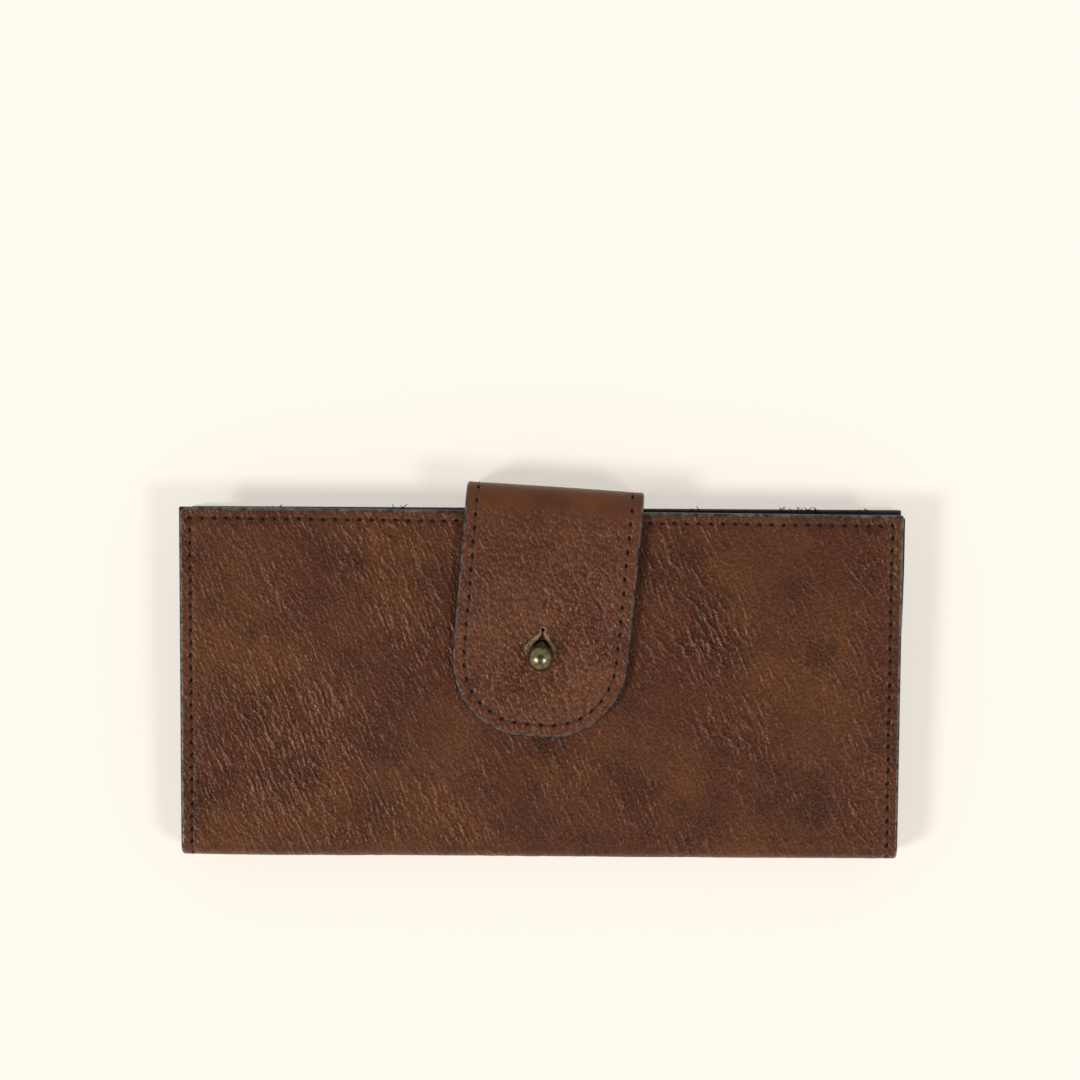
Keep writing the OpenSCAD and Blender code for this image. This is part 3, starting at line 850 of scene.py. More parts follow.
def suede(name):
    look = Look(name, Specular_IOR_Level=0.2, Sheen_Weight=0.25, Sheen_Roughness=0.5)
    nap = look.noise(look.flat, 7.0, 4.0, 0.7)
    brushed = look.noise(look.placed(look.flat, 0.5, (0.25, 1.2, 1)), 0.9, 3.0)
    colour = look.mix(look.span(nap, 0.25, 0.8), (0.006, 0.0055, 0.0052), (0.034, 0.031, 0.029))
    colour = look.shaded(colour, look.span(brushed, 0.3, 0.7, 0.7, 1.25))
    return look.finish(colour, look.span(nap, 0.0, 1.0, 0.85, 1.0), nap, 0.12)


def thread_look(name):
    look = Look(name, Specular_IOR_Level=0.4)
    turns = look.plus(look.times(look.along(look.flat, 0), 11.0), look.along(look.flat, 1))
    twist = look.maths("SINE", look.times(turns, 2.0))
    tone = look.noise(look.flat, 1.7, 2.0)
    # Painted light and shade: the thread is lighter on the twist's ridges and darker in its grooves.
    colour = look.mix(look.span(twist, -1.0, 1.0), (0.03, 0.012, 0.007), (0.075, 0.031, 0.017))
    colour = look.shaded(colour, look.span(tone, 0.2, 0.8, 0.7, 1.3))
    return look.finish(colour, look.span(twist, -1.0, 1.0, 0.6, 0.42), twist, 0.05)


def brass(name, own, clean, aged, gloss):
    look = Look(name, own, Metallic=1.0)
    stain = look.noise(look.flat, 0.5, 4.0, 0.65)
    spots = look.noise(look.flat, 2.2, 3.0, 0.6)
    scratches = look.noise(look.placed(look.flat, 0.6, (0.5, 6.0, 1)), 1.0, 3.0)
    colour = look.mix(look.span(stain, 0.38, 0.68), clean, aged)
    colour = look.mix(look.span(spots, 0.6, 0.78, 0.0, 0.8), colour, tuple(0.35 * c for c in aged))
    rough = look.plus(look.span(stain, 0.3, 0.7, gloss, gloss + 0.14), look.span(spots, 0.55, 0.8, 0.0, 0.2))
    bumps = look.plus(look.times(spots, 0.6), look.times(scratches, 0.3))
    return look.finish(colour, rough, bumps, 0.035)


def cotton(name, own):
    """Herringbone tape in black cotton."""
    look = Look(name, own, Specular_IOR_Level=0.25, Sheen_Weight=0.15, Sheen_Roughness=0.6)
    ahead, across = look.along(look.flat, 0), look.along(look.flat, 1)
    rib = look.maths("SINE", look.times(look.plus(ahead, look.maths("PINGPONG", across, 1.1)), 10.0))
    cross = look.maths("SINE", look.times(across, 15.0))
    weave = look.plus(rib, look.times(cross, 0.5))
    fuzz = look.noise(look.flat, 3.0, 3.0)
    # Painted light and shade: the tape is lighter on the weave's ribs and darker in its hollows.
    colour = look.mix(look.span(weave, -1.4, 1.4), (0.006, 0.0055, 0.005), (0.028, 0.026, 0.024))
    colour = look.shaded(colour, look.span(fuzz, 0.25, 0.75, 0.75, 1.25))
    return look.finish(colour, look.span(fuzz, 0.0, 1.0, 0.8, 0.95), weave, 0.06)


def board(name):
    look = Look(name, own=True, Specular_IOR_Level=0.3)
    flecks = look.noise(look.vector("MULTIPLY", look.flat, (1, 1, 4)), 0.9, 4.0, 0.7)
    colour = look.mix(look.span(flecks, 0.3, 0.7), (0.032, 0.022, 0.016), (0.085, 0.058, 0.04))
    return look.finish(colour, look.span(flecks, 0.0, 1.0, 0.75, 0.9), flecks, 0.1)


DOWN_RIGHT = math.radians(58)       # the creases run from upper left to lower right
STEEP = math.radians(-66)
cover_leather = leather(
    "cover_leather", [(0.036, 0.0102, 0.0052), (0.072, 0.0203, 0.0084), (0.103, 0.0325, 0.0103)],
    DOWN_RIGHT, (0.19, 0.11, 0.075), 0.26, [(-66, 34, 46), (44, 62, 26)])
strap_leather = leather(
    "strap_leather", [(0.062, 0.0175, 0.0090), (0.091, 0.0276, 0.0122), (0.122, 0.0410, 0.0154)],
    STEEP, (0.24, 0.14, 0.14), 0.24, [(12, FLAP_S0 + 28, 30), (-2, FLAP_S0 + 42, 30)],
    paint=0.5, lips=True, coarse=1.3)
pocket_leather = leather(
    "pocket_leather", [(0.046, 0.015, 0.008), (0.068, 0.0225, 0.011), (0.085, 0.031, 0.014)],
    DOWN_RIGHT, (0.06, 0.04, 0.05), 0.34, paint=0.7)
suede_lining = suede("suede_lining")
waxed_thread = thread_look("waxed_thread")
stud_brass = brass("stud_brass", False, (0.3, 0.225, 0.11), (0.1, 0.08, 0.042), 0.22)
zip_brass = brass("zip_brass", False, (0.6, 0.46, 0.22), (0.3, 0.22, 0.1), 0.24)
screw_brass = brass("screw_brass", True, (0.5, 0.4, 0.22), (0.24, 0.18, 0.09), 0.28)
black_cotton = cotton("black_cotton", False)
bag_cotton = cotton("bag_cotton", True)
stiffener_board = board("stiffener_board")


# ---- covers ----

FRONT_S1 = front_path.length
BACK_S1 = back_path.length


def bends(piece, bend, slot, *nodes):
    """A soft piece in place of CAD nodes, which are hidden; its transform is baked into its mesh."""
    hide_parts(*nodes)
    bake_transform(piece)


def rides(piece, body, slot, *nodes):
    """A piece fixed to one body, in place of CAD nodes if any are named."""
    if nodes:
        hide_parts(*nodes)
    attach(piece, body)


def cover_corners(s1):
    x, far = COVER_W / 2 - STITCH_INSET, s1 - STITCH_INSET
    return [(-x, 1.6), (-x, far), (x, far), (x, 1.6)]


BACK_SINK = 0.36        # the back's face sinks this much further than its relief
BACK_THREAD_SINK = 0.46
SEAM_REACH = 5          # both covers' relief eases to nothing where they meet, behind the spine


def front_relief(u, s):
    return hide_relief(0.085, -DOWN_RIGHT, 100)(u, s) * eased(s, 0, SEAM_REACH, 0, 1)


def back_relief(u, s):
    """The back's relief only sinks, because it lies on the table."""
    return (hide_relief(0.05, DOWN_RIGHT, 300)(u, s) - BACK_SINK) * eased(s, 0, SEAM_REACH, 0, 1)


front_holes = stitch_rows(cover_corners(FRONT_S1), 5)
back_holes = stitch_rows(cover_corners(BACK_S1), 6)
TAIL_HALF = STRAP_W / 2 - STITCH_INSET


def tail_to_back(u, y):
    """Flat coordinates on the back cover of a point of the leaning strap's tail."""
    x = u * math.cos(STRAP_LEAN) + (y - STUD_Y) * math.sin(STRAP_LEAN)
    across = STUD_Y - u * math.sin(STRAP_LEAN) + (y - STUD_Y) * math.cos(STRAP_LEAN)
    return x, back_s(across)


tail_corners = [tail_to_back(*p) for p in ((-TAIL_HALF, OPENING_Y - 6), (-TAIL_HALF, TAIL_Y + STITCH_INSET),
                                           (TAIL_HALF, TAIL_Y + STITCH_INSET), (TAIL_HALF, OPENING_Y - 6))]
tail_holes = stitch_rows(tail_corners, 7)


def outer(name, outline, place, material, step, rim, relief, holes, seed, **extras):
    """Leather with its flesh side inwards."""
    return sheet(name, outline, place, HALF_T, -HALF_T, [material, suede_lining], step, rim, relief, holes,
                 seam=True, seed=seed, **extras)


def lining(name, outline, place, thick, step, rim, seed, cuts=()):
    """Suede under the outer leather."""
    return sheet(name, outline, place, -HALF_T - thick, -HALF_T, [suede_lining], step, rim, cuts=cuts,
                 seam=True, seed=seed)


front_cover = outer("front_cover_leather", panel(COVER_W / 2, 0, FRONT_S1, 0, CORNER_R, 0.7, seam=True),
                    front_place, cover_leather, 0.62, 0.85, front_relief, front_holes, 11)
bends(front_cover, "front fold", "cover_leather", "front_cover", "spine_leather")

back_cover = outer("back_cover_leather", panel(COVER_W / 2, 0, BACK_S1, 0, CORNER_R, 0.9, seam=True),
                   back_place, cover_leather, 0.85, 0.8, back_relief,
                   np.concatenate([back_holes, tail_holes]), 12)
bends(back_cover, "back fold", "cover_leather", "back_cover")

front_thread = stitches("front_cover_thread", [front_holes], front_place,
                        HALF_T - THREAD_SINK, 1, waxed_thread)
bends(front_thread, "front fold", "waxed_thread", "front_stitching")

back_thread = stitches("back_cover_thread", [back_holes, tail_holes], back_place,
                       HALF_T - BACK_THREAD_SINK, 1, waxed_thread)
bends(back_thread, "back fold", "waxed_thread", "back_stitching")


# ---- linings ----

def back_lining_place(u, s, h):
    """The back lining leaves the spine and climbs over the stiffener."""
    return back_place(u, s, h - eased(s, FOLD_END - 1.5, FOLD_END + 4, 0, TAIL_T))


def front_lining_place(u, s, h):
    """The front lining shows past the leather at the opening's right corner."""
    return front_place(u + eased(u, 40, 95, 0, 1.1) * eased(s, 30, 85, 0, 1), s, h)


front_lining = lining("front_lining_suede",
                      panel(LAYER_HALF + 0.4, 0, FRONT_S1 - 0.6, 0, CORNER_R, 1.2, seam=True),
                      front_lining_place, LINING_T, 1.8, 0.15, 21)
bends(front_lining, "front fold", "suede_lining", "front_lining", "spine_lining")

back_lining = lining("back_lining_suede",
                     panel(LAYER_HALF + 0.4, 0, BACK_S1 - 0.35, 0, CORNER_R, 1.2, seam=True),
                     back_lining_place, LINING_T, 1.8, 0.15, 22)
bends(back_lining, "back fold", "suede_lining", "back_lining")


# ---- strap ----

KEY_S = FLAP_S0 + BEND_V - STUD_V       # the stud's place along the strap
KEY_DROP = [2.9, 2.9, 2.6, 1.95, 1.25, 0.6, 0.22, 0.14]     # half width of the slit at its lower face
KEY_OPEN = [3.6, 4.35, 4.45, 3.75, 2.8, 1.8, 0.95, 0.6]     # and at the grain
KEY_AT = [0.0, 1.4, 2.4, 3.3, 4.2, 5.2, 6.0, 6.5]           # heights above the stud
PUNCH_AT = 7.0
PUNCH_R = 0.5


def keyhole(share):
    """The stud's hole and the slit it opens. Its raw sides flare towards the grain face."""
    flare = (1 - share) ** 2.6
    half = np.array(KEY_DROP) + flare * (np.array(KEY_OPEN) - np.array(KEY_DROP))
    fine_at = np.linspace(0, KEY_AT[-1], 16)
    fine_half = np.interp(fine_at, KEY_AT, half)
    low_r = half[0]
    angle = np.linspace(0, math.pi, 15)
    low = np.stack([-low_r * np.cos(angle), -low_r * np.sin(angle)], -1)
    right = np.stack([fine_half * (1 - 0.14 * flare), fine_at], -1)[1:]
    left = np.stack([-fine_half, fine_at], -1)[::-1][:-1]
    punch_r = PUNCH_R + 0.22 * flare
    turn = np.linspace(-0.2 * math.pi, 1.2 * math.pi, 9)
    punch = np.stack([punch_r * np.cos(turn), PUNCH_AT + punch_r * np.sin(turn)], -1)
    loop = np.concatenate([low, right, punch, left])
    return np.stack([loop[:, 0], KEY_S - loop[:, 1]], -1)


def strap_relief(u, s):
    """Pebbled relief, drawn up round the keyhole and creased outwards from it."""
    du, ds = u, s - KEY_S + 2
    away = np.hypot(du, ds)
    drawn = 0.3 * np.exp(-((away - 3) / 2.6) ** 2)
    rays = 0.09 * np.exp(-((away - 6) / 3) ** 2) * np.sin(9 * np.arctan2(ds, du) + 1)
    return hide_relief(0.045, math.radians(-84), 500)(u, s) * 0.8 + drawn + rays


def strap_worn(u, s):
    """The grain is worn smooth over the top bend."""
    return np.exp(-((s - (RISER_S1 + FLAP_S0) / 2) / 5.5) ** 2)


def strap_line(s0):
    """The stitch line of one strap half, from s0 round the free end and back."""
    half, r = STRAP_W / 2 - STRAP_INSET, FLAP_R - STRAP_INSET
    low = FLAP_S0 + FLAP_L - STRAP_INSET - r
    angle = np.linspace(0, math.pi / 2, 24)
    left = np.stack([-(half - r) - r * np.cos(angle), low + r * np.sin(angle)], -1)
    right = np.stack([half - r + r * np.sin(angle), low + r * np.cos(angle)], -1)
    return np.concatenate([[(-half, s0)], left, right, [(half, s0)]])


FLAP_S1 = FLAP_S0 + FLAP_L
flap_holes = jitter(spaced(strap_line(LOOP_S + 1.2), STRAP_PITCH), 8)
flap_leather = outer("strap_flap_leather", panel(STRAP_W / 2, LOOP_S, FLAP_S1, 0, FLAP_R, 0.6, seam=True),
                     strap_place, strap_leather, 0.5, 0.75, strap_relief, flap_holes, 31,
                     cuts=[keyhole], polish=strap_worn)
bends(flap_leather, "strap top", "strap_leather", "strap_flap_outer")


def lining_hole(share):
    angle = 2 * math.pi * np.arange(28) / 28
    return np.stack([3.3 * np.cos(angle), KEY_S - 1 + 4.2 * np.sin(angle)], -1)


flap_lining = lining("strap_flap_suede",
                     panel(STRAP_W / 2 - 0.1, LOOP_S, FLAP_S1 - 0.1, 0, FLAP_R, 0.9, seam=True),
                     strap_place, STRAP_LINING_T, 1.6, 0.2, 32, [lining_hole])
bends(flap_lining, "strap top", "suede_lining", "strap_flap_lining")

flap_thread = stitches("strap_thread", [flap_holes], strap_place, HALF_T - THREAD_SINK, 1, waxed_thread)
bends(flap_thread, "strap top", "waxed_thread", "strap_stitching")


def loop_place(u, s, h):
    """The strap's lower half, measured back from where the halves meet."""
    return strap_place(u, LOOP_S - s, h)


def loop_relief(u, s):
    return strap_relief(u, LOOP_S - s)


def loop_worn(u, s):
    return strap_worn(u, LOOP_S - s)


loop_line = np.array([(-(STRAP_W / 2 - STRAP_INSET), 1.2), (-(STRAP_W / 2 - STRAP_INSET), LOOP_S - RISER_S0)])
loop_holes = [jitter(spaced(loop_line * (side, 1), STRAP_PITCH), 9) for side in (1, -1)]
loop_leather = outer("strap_loop_leather", panel(STRAP_W / 2, 0, LOOP_S, 0, CORNER_R, 0.7, seam=True),
                     loop_place, strap_leather, 0.8, 0.75, loop_relief, np.concatenate(loop_holes), 33,
                     polish=loop_worn)
bends(loop_leather, "strap root", "strap_leather", "strap_loop_outer", "strap_tail")

loop_lining = lining("strap_loop_suede",
                     panel(STRAP_W / 2 - 0.1, 0, LOOP_S - RISER_S0 - 1, 0, CORNER_R, 1, seam=True),
                     loop_place, STRAP_LINING_T, 1.4, 0.2, 34)
bends(loop_lining, "strap root", "suede_lining", "strap_loop_lining")


# ---- stud ----

def lathe(profile, sides, place):
    """Points, faces and own coordinates of a turned solid. profile is (radius, height), from axis to axis."""
    profile = np.array(profile, float)
    angle = around(sides)
    r, w = profile[:, :1], np.repeat(profile[:, 1:], sides, 1)
    local = np.stack([r * np.cos(angle), r * np.sin(angle), w], -1).reshape(-1, 3)
    points = place(local)
    return points, facing_out(points, ring_faces(len(profile), sides)), local


def on_front(v):
    """A place function for solids that stand on the front cover at v: local z is outwards."""
    def place(local):
        y, w = v + local[:, 1], local[:, 2]
        return np.stack([local[:, 0],
                         AXIS_B[0] + y * math.cos(WEDGE) - w * math.sin(WEDGE),
                         AXIS_B[1] + y * math.sin(WEDGE) + w * math.cos(WEDGE)], -1)
    return place


def ball_profile():
    """Flange, neck and ball in one outline, from the foot up."""
    foot = HALF_T
    start = math.asin(1.8 / BALL_R)
    profile = [(0.01, foot), (FLANGE_R - 0.3, foot), (FLANGE_R, foot + 0.25), (FLANGE_R - 0.12, foot + 0.6),
               (FLANGE_R - 0.6, foot + FLANGE_T), (2.3, foot + FLANGE_T + 0.1), (1.85, foot + FLANGE_T + 0.5)]
    angles = np.linspace(math.pi - start, 0.02, 40)
    profile += [(BALL_R * math.sin(a), BALL_W + BALL_R * math.cos(a)) for a in angles]
    return profile


stud = Gather()
stud.add(*lathe(ball_profile(), 72, on_front(STUD_V)))
ball_stud = stud.make("ball_stud", stud_brass)
rides(ball_stud, "front", "stud_brass", "stud_head")


# ---- pockets of the front half ----

def creased(mouth):
    """A pocket panel's relief, with a line pressed 1.8 mm below its mouth."""
    def relief(u, s):
        return flat_relief(u, s) - 0.14 * np.exp(-((s - mouth + 1.8) / 0.35) ** 2)
    return relief


def moved(outline, x):
    """An outline function shifted along X."""
    def shifted(inset):
        return outline(inset) + np.array([x, 0])
    return shifted


def pocket(name, outline, mouth, place, top, bottom, node, body, holes=(), cuts=(), step=1.5):
    """A pocket panel in pocket leather, with its mouth at s = mouth."""
    piece = sheet(name, outline, place, top, bottom, [pocket_leather], step=step, rim=0.4,
                  relief=creased(mouth), holes=holes, cuts=cuts, seed=len(name) + int(mouth))
    rides(piece, body, "pocket_leather", node)


INNER_W = -HALF_T - LINING_T
SLIP_TOP = INNER_W - PANEL_T
SLIP_V = (node_box("front_slip_panel")[1][1] - AXIS_B[0]) / math.cos(WEDGE) + INNER_W * math.tan(WEDGE)
POCKET_S0 = FOLD_END + 0.6
slip_s1 = front_s(SLIP_V)
pocket("front_slip_leather", panel(LAYER_HALF, POCKET_S0, slip_s1, 1, 1, 1.2), slip_s1, front_place,
       SLIP_TOP, INNER_W, "front_slip_panel", "front")

COLUMN_HALF = (LAYER_HALF - 1) / 2
COLUMN_X = LAYER_HALF - COLUMN_HALF
FIRST_MOUTH = SLIP_V - 6
CARD_STEP = 12
pocket_rows = []

for side, word in ((-1, "left"), (1, "right")):
    for row in (1, 2, 3, 4):
        mouth = front_s(FIRST_MOUTH - (row - 1) * CARD_STEP)
        shown = front_s(3.5) if row == 4 else mouth - CARD_STEP + 1
        top = SLIP_TOP - row * POCKET_T
        lines = []
        for x, number in ((COLUMN_X - COLUMN_HALF + 2, row), (COLUMN_X + COLUMN_HALF - 1.6, row + 4)):
            lines.append(stitch_rows([(side * x, shown), (side * x, mouth - 1.5)], number))
            pocket_rows.append((lines[-1], top + 0.05))
        pocket(f"card_pocket_leather_{word}_{row}",
               moved(panel(COLUMN_HALF, POCKET_S0, mouth, 1, 1, 1.2), side * COLUMN_X), mouth, front_place,
               top, top + POCKET_T, f"card_pocket_{word}_{row}", "front", np.concatenate(lines))


def join(objects, name):
    """Several new objects made into one."""
    first = objects[0]
    with bpy.context.temp_override(active_object=first, object=first, selected_editable_objects=objects,
                                   selected_objects=objects):
        bpy.ops.object.join()
    first.name = name
    return first


pocket_thread = join([stitches(f"row_{i}", [line], front_place, top, -1, waxed_thread)
                      for i, (line, top) in enumerate(pocket_rows)], "card_pocket_thread")
rides(pocket_thread, "front", "waxed_thread", "card_pocket_stitching")


# ---- pockets of the back half ----

def back_h(z):
    """Height on the back path of a level z above the table."""
    return HALF_T - z


bill_low, bill_high = node_box("bill_pocket_panel")
bill_s0, bill_s1 = back_s(bill_low[1] + 1), back_s(bill_high[1])
pocket("bill_pocket_leather", panel(LAYER_HALF, bill_s0, bill_s1, 1, 1, 1.2), bill_s1, back_place,
       back_h(bill_high[2]), back_h(bill_low[2]), "bill_pocket_panel", "back")

coin_low, coin_high = node_box("coin_pocket_facing")
tape_low, tape_high = node_box("zip_tape")
ZIP_Y = (tape_low[1] + tape_high[1]) / 2
WINDOW_HALF = (tape_high[0] - tape_low[0]) / 2 - 4
WINDOW_W = 8


def zip_window(share):
    """The zip's window, with round ends."""
    r = WINDOW_W / 2 + 0.3 * (1 - share)
    angle = np.linspace(-math.pi / 2, math.pi / 2, 9)
    straight = np.linspace(-1, 1, 90)[1:-1] * (WINDOW_HALF - r)
    right = np.stack([WINDOW_HALF - r + r * np.cos(angle), r * np.sin(angle)], -1)
    top_run = np.stack([straight[::-1], np.full(len(straight), r)], -1)
    loop = np.concatenate([right, top_run, -right, -top_run])
    return loop + np.array([0, back_s(ZIP_Y)])


def frame_rows(half_w, s0, s1, seed):
    """Awl holes round a rectangle."""
    return stitch_rows([(-half_w, s0), (-half_w, s1), (half_w, s1), (half_w, s0), (-half_w, s0)], seed)[:-1]


COIN_HALF = coin_high[0]
coin_edge = frame_rows(COIN_HALF - 2, back_s(coin_low[1] + 2), back_s(coin_high[1] - 2), 41)
zip_reach = WINDOW_W / 2 + 1.8
zip_edge = frame_rows(WINDOW_HALF + 2, back_s(ZIP_Y - zip_reach), back_s(ZIP_Y + zip_reach), 42)
coin_s0, coin_s1 = back_s(coin_low[1]), back_s(coin_high[1])
pocket("coin_pocket_leather", panel(COIN_HALF, coin_s0, coin_s1, 3, 3, 1.2), coin_s1, back_place,
       back_h(coin_high[2]), back_h(coin_low[2]), "coin_pocket_facing", "back",
       np.concatenate([coin_edge, zip_edge]), [zip_window], 1.3)
coin_rows = [np.concatenate([row, row[:1]]) for row in (coin_edge, zip_edge)]
coin_thread = stitches("coin_pocket_thread", coin_rows, back_place, back_h(coin_high[2]) + 0.05, -1,
                       waxed_thread)
rides(coin_thread, "back", "waxed_thread", "coin_pocket_stitching")

# ---- zip ----

TAPE_INNER = 1.75


def tape_relief(side):
    """A corded bead along the inner edge of one tape."""
    def relief(u, s):
        inward = side * (s - back_s(ZIP_Y)) - TAPE_INNER
        return 0.16 * np.exp(-((inward - 0.5) / 0.35) ** 2)
    return relief


for side, word in ((-1, "lower"), (1, "upper")):
    ends = sorted((back_s(ZIP_Y + side * TAPE_INNER), back_s(ZIP_Y + side * (tape_high[1] - ZIP_Y))))
    tape = sheet(f"zip_tape_{word}", panel(tape_high[0], ends[0], ends[1], 0.3, 0.3, 0.8), back_place,
                 back_h(tape_high[2]), back_h(tape_low[2]), [black_cotton], step=0.7, rim=0.12,
                 relief=tape_relief(side), seed=50 + side)
    rides(tape, "back", "black_cotton", *(["zip_tape"] if side > 0 else []))


def rounded_block(size, bevel):
    """Points and faces of a small block with rounded edges, centred on the origin."""
    mesh = bpy.data.meshes.new("block")
    work = bmesh.new()
    bmesh.ops.create_cube(work, size=1)
    bmesh.ops.scale(work, vec=size, verts=work.verts)
    bmesh.ops.bevel(work, geom=work.edges[:] + work.verts[:], offset=bevel, segments=2, profile=0.5,
                    affect="EDGES")
    work.to_mesh(mesh)
    work.free()
    points = np.array([v.co for v in mesh.vertices])
    faces = [tuple(f.vertices) for f in mesh.polygons]
    bpy.data.meshes.remove(mesh)
    return points, faces


teeth_low, teeth_high = node_box("zip_teeth")
TOOTH = np.array([1.4, 1.6, teeth_high[2] - teeth_low[2]])
TOOTH_PITCH = 3.0
TOOTH_Z = (teeth_low[2] + teeth_high[2]) / 2
tooth_points, tooth_faces = rounded_block(TOOTH * (1, 1.15, 1), 0.28)
nub_points, nub_faces = rounded_block((0.7, 0.8, 0.55), 0.18)
teeth = Gather()
row_start = teeth_low[0] + TOOTH[0] / 2
for side in (-1, 1):
    first = row_start + (TOOTH_PITCH / 2 if side > 0 else 0)
    for x in np.arange(first, teeth_high[0], TOOTH_PITCH):
        centre = np.array([x, ZIP_Y + side * (0.35 + TOOTH[1] / 2), TOOTH_Z])
        waist = tooth_points.copy()
        waist[:, 0] *= 1 - 0.22 * np.clip(side * waist[:, 1] / TOOTH[1] + 0.1, 0, 1)
        teeth.add(waist + centre, tooth_faces, waist + centre)
        tip = nub_points + centre - (0, side * (TOOTH[1] / 2 + 0.25), 0)
        teeth.add(tip, nub_faces, tip)
zip_teeth = teeth.make("zip_chain", zip_brass)
rides(zip_teeth, "back", "zip_brass", "zip_teeth")

stops_low, stops_high = node_box("zip_stops")
stop_points, stop_faces = rounded_block((1.3, stops_high[1] - stops_low[1], TOOTH[2]), 0.35)
stops = Gather()
for x in (stops_low[0] + 0.8, stops_high[0] - 0.8):
    placed = stop_points + (x, ZIP_Y, TOOTH_Z)
    stops.add(placed, stop_faces, placed)
zip_stops = stops.make("zip_end_stops", zip_brass)
rides(zip_stops, "back", "zip_brass", "zip_stops")

slider_low, slider_high = node_box("zip_slider")
puller_low, puller_high = node_box("zip_puller")
PIN_X = puller_high[0] - (puller_high[1] - puller_low[1]) / 2
SLIDER_W = slider_high[1] - slider_low[1]


def at_zip(u, s, h):
    """The zip's slider and puller are laid out straight in X, Y and Z."""
    return np.stack(np.broadcast_arrays(u, s, h), -1)


def slider_outline(inset):
    """Round nose at +X, waisted shoulders and a narrower tail."""
    angle = 2 * math.pi * np.arange(64) / 64
    half = SLIDER_W / 2 - inset
    reach = (slider_high[0] - slider_low[0]) / 2 - inset
    x = reach * np.cos(angle)
    y = half * np.sign(np.sin(angle)) * np.abs(np.sin(angle)) ** 0.7 * (0.86 + 0.14 * np.cos(angle))
    return np.stack([x + (slider_low[0] + slider_high[0]) / 2, y + ZIP_Y], -1)


def plate_parts(name, outline, low, high, cuts=(), step=0.8, rim=0.25):
    return sheet(name, outline, at_zip, high, low, [zip_brass], step=step, rim=rim, cuts=cuts,
                 relief=lambda u, s: 0 * u)


def turned_pin(name, x, profile):
    parts = Gather()
    parts.add(*lathe(profile, 28, lambda local: local + (x, ZIP_Y, 0)))
    return parts.make(name, zip_brass)


PLATE_T = 0.6
TOP_PLATE = TOOTH_Z + TOOTH[2] / 2 + 0.1
post = Gather()
post_points, post_faces = rounded_block((1.6, 0.6, TOP_PLATE - slider_low[2] + 0.3), 0.15)
placed_post = post_points + (slider_high[0] - 2.2, ZIP_Y, (slider_low[2] + TOP_PLATE + 0.3) / 2)
post.add(placed_post, post_faces, placed_post)
PIN_FOOT, PIN_TOP = TOP_PLATE + 0.2, slider_high[2]
pin_profile = [(0.01, PIN_FOOT), (0.9, PIN_FOOT), (0.9, PIN_TOP - 0.42), (1.35, PIN_TOP - 0.4),
               (1.6, PIN_TOP - 0.25), (1.45, PIN_TOP - 0.08), (0.9, PIN_TOP), (0.01, PIN_TOP)]
slider = join([plate_parts("slider_top", slider_outline, TOP_PLATE, TOP_PLATE + PLATE_T),
               plate_parts("slider_foot", slider_outline, slider_low[2], slider_low[2] + PLATE_T),
               post.make("slider_post", zip_brass),
               turned_pin("slider_pin", PIN_X, pin_profile)], "zip_slider_body")
rides(slider, "zip_slider", "zip_brass", "zip_slider")


def puller_outline(inset):
    """A flat pull, waisted between its eye and its round end."""
    half = (puller_high[1] - puller_low[1]) / 2
    length = puller_high[0] - puller_low[0] - 2 * half
    arc = np.linspace(-math.pi / 2, math.pi / 2, 13)
    eye = np.stack([np.cos(arc), np.sin(arc)], -1) * (half - inset)
    far = -eye - (length, 0)
    share = np.linspace(0, 1, 18)[1:-1]
    waist = half - inset - 0.85 * np.sin(math.pi * share) ** 2
    upper = np.stack([-length * share, waist], -1)
    lower = np.stack([-length * share[::-1], -waist[::-1]], -1)
    return np.concatenate([eye, upper, far, lower]) + (PIN_X, ZIP_Y)


def round_cut(x, r):
    def loop(share):
        angle = 2 * math.pi * np.arange(24) / 24
        here = r + 0.15 * (2 * share - 1) ** 2
        return np.stack([x + here * np.cos(angle), ZIP_Y + here * np.sin(angle)], -1)
    return loop


PULL_END = puller_low[0] + (puller_high[1] - puller_low[1]) / 2
puller = plate_parts("zip_pull_tab", puller_outline, puller_low[2], puller_high[2],
                     [round_cut(PIN_X, 1.0), round_cut(PULL_END, 1.2)], 0.7, 0.3)
rides(puller, "zip_puller", "zip_brass", "zip_puller")


# ---- loose suede fibres at the back half's opening edge ----

FIBRE_R = 0.17
fibre_rng = np.random.default_rng(77)
fibres = Gather()
for _ in range(26):
    tuft = fibre_rng.choice([-72, -38, 40, 62, 66, 70, 86])     # where along the edge they gather
    u = tuft + fibre_rng.normal(0, 1.6)
    length = fibre_rng.uniform(0.4, 1.3)
    lean = fibre_rng.uniform(-0.9, 0.9)
    curl = fibre_rng.uniform(-0.8, 0.8)
    t = np.linspace(0, 1, 6)
    line = np.stack([u + length * (lean * t + curl * t * t), BACK_S1 - 0.5 + length * t,
                     back_h(3.0) - 0.35 * length * np.sin(math.pi * t)], -1)
    points, faces = tube(line, FIBRE_R * (1 - 0.6 * t))
    placed = back_place(points[:, 0], points[:, 1], points[:, 2])
    fibres.add(placed, facing_out(placed, faces), points)
rides(fibres.make("suede_edge_fibres", suede_lining), "back", "suede_lining")


# ---- CAD nodes whose shape stays ----

for node, material in (("back_stiffener", stiffener_board), ("coin_pocket_bag", bag_cotton),
                       ("stud_screw", screw_brass)):
    kept = frame["nodes"][node]
    if not kept.material_slots:
        kept.data.materials.append(material)
    for material_slot in kept.material_slots:
        material_slot.link = "OBJECT"
        material_slot.material = material


# ---- camera, light and floor ----

CAMERA_UP = 0.72
VIEW_W = 0.2827             # width that the view takes in at the front cover
CAMERA_X = -0.0003
CAMERA_Y = 0.0374
ROLL = math.radians(0.35)
front_top = node_box("front_cover")[1][2] * MM

FLOOR_GLOW = 0.5            # share of the floor's brightness that shadows don't touch
ALL_LIGHT = 1.24            # brightness of a white floor in the open

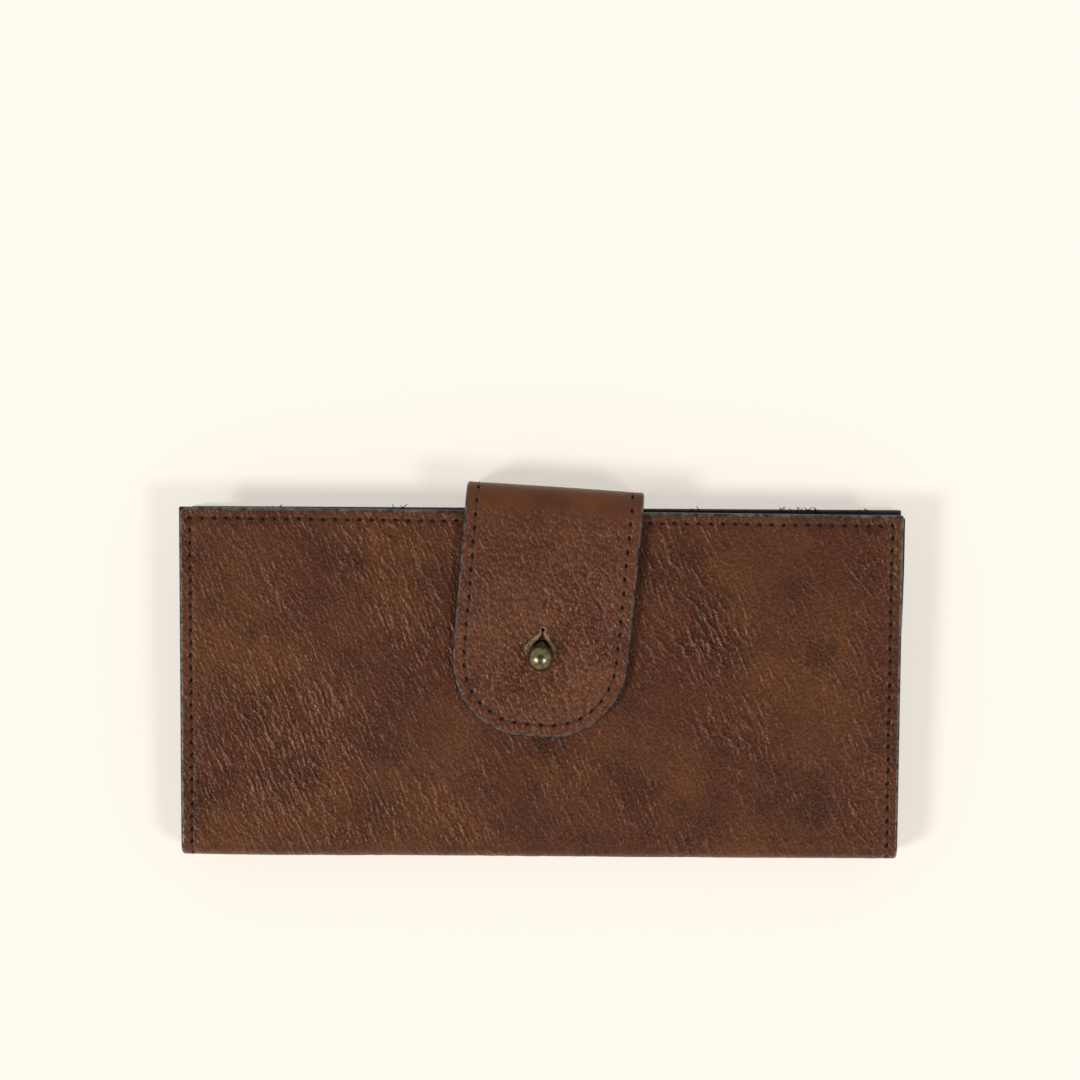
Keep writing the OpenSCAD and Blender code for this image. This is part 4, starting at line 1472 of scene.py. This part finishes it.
floor_mesh = bpy.data.meshes.new("floor")
floor_mesh.from_pydata([(-3, -3, 0), (3, -3, 0), (3, 3, 0), (-3, 3, 0)], [], [(0, 1, 2, 3)])
floor = bpy.data.objects.new("floor", floor_mesh)
floor.location.z = cad_box[0][2] - 0.0002
floor_look = Look("floor", own=True, Specular_IOR_Level=0.0)
floor_tone = floor_look.noise(floor_look.flat, 0.4, 2.0)
floor_look.set(floor_look.shader.inputs["Emission Color"], (0.9, 0.8235, 0.7355, 1))
floor_look.set(floor_look.shader.inputs["Emission Strength"], FLOOR_GLOW * ALL_LIGHT)
floor_colours = [[(1 - FLOOR_GLOW) * (c + lift) for c in (0.9, 0.8225, 0.7345)] for lift in (0, 0.002)]
floor_mesh.materials.append(floor_look.finish(floor_look.mix(floor_tone, *floor_colours), 1.0))
bpy.context.scene.collection.objects.link(floor)

camera_data = bpy.data.cameras.new("camera")
camera = bpy.data.objects.new("camera", camera_data)
bpy.context.scene.collection.objects.link(camera)
camera_data.sensor_width = 36
camera_data.lens = 36 * (CAMERA_UP - front_top) / VIEW_W
camera.location = (CAMERA_X, CAMERA_Y, CAMERA_UP)
camera.rotation_euler = (0, 0, ROLL)
bpy.context.scene.camera = camera

world = bpy.data.worlds.new("studio")
world.use_nodes = True
sky = world.node_tree
background = sky.nodes["Background"]
background.inputs["Color"].default_value = (0.9, 1.01, 1.06, 1)
direction = sky.nodes.new("ShaderNodeTexCoord")
parts = sky.nodes.new("ShaderNodeSeparateXYZ")
ceiling = sky.nodes.new("ShaderNodeMapRange")
ceiling.interpolation_type = "SMOOTHSTEP"
sky.links.new(direction.outputs["Generated"], parts.inputs[0])
sky.links.new(parts.outputs[2], ceiling.inputs[0])
for socket, number in zip(list(ceiling.inputs)[1:5], (0.66, 0.92, 0.68, 0.06)):
    socket.default_value = number       # soft walls of light under a dark ceiling
sky.links.new(ceiling.outputs[0], background.inputs["Strength"])
bpy.context.scene.world = world

for name, towards, strength in (("key", (-0.60, -0.28, 0.75), 1.67), ("fill", (0.52, -0.32, 0.79), 1.1)):
    lamp = bpy.data.lights.new(name, "SUN")
    lamp.energy = strength
    lamp.angle = math.radians(14)
    holder = bpy.data.objects.new(name, lamp)
    holder.rotation_euler = Vector(towards).to_track_quat("Z", "Y").to_euler()
    bpy.context.scene.collection.objects.link(holder)

bpy.context.scene.view_settings.view_transform = "Standard"
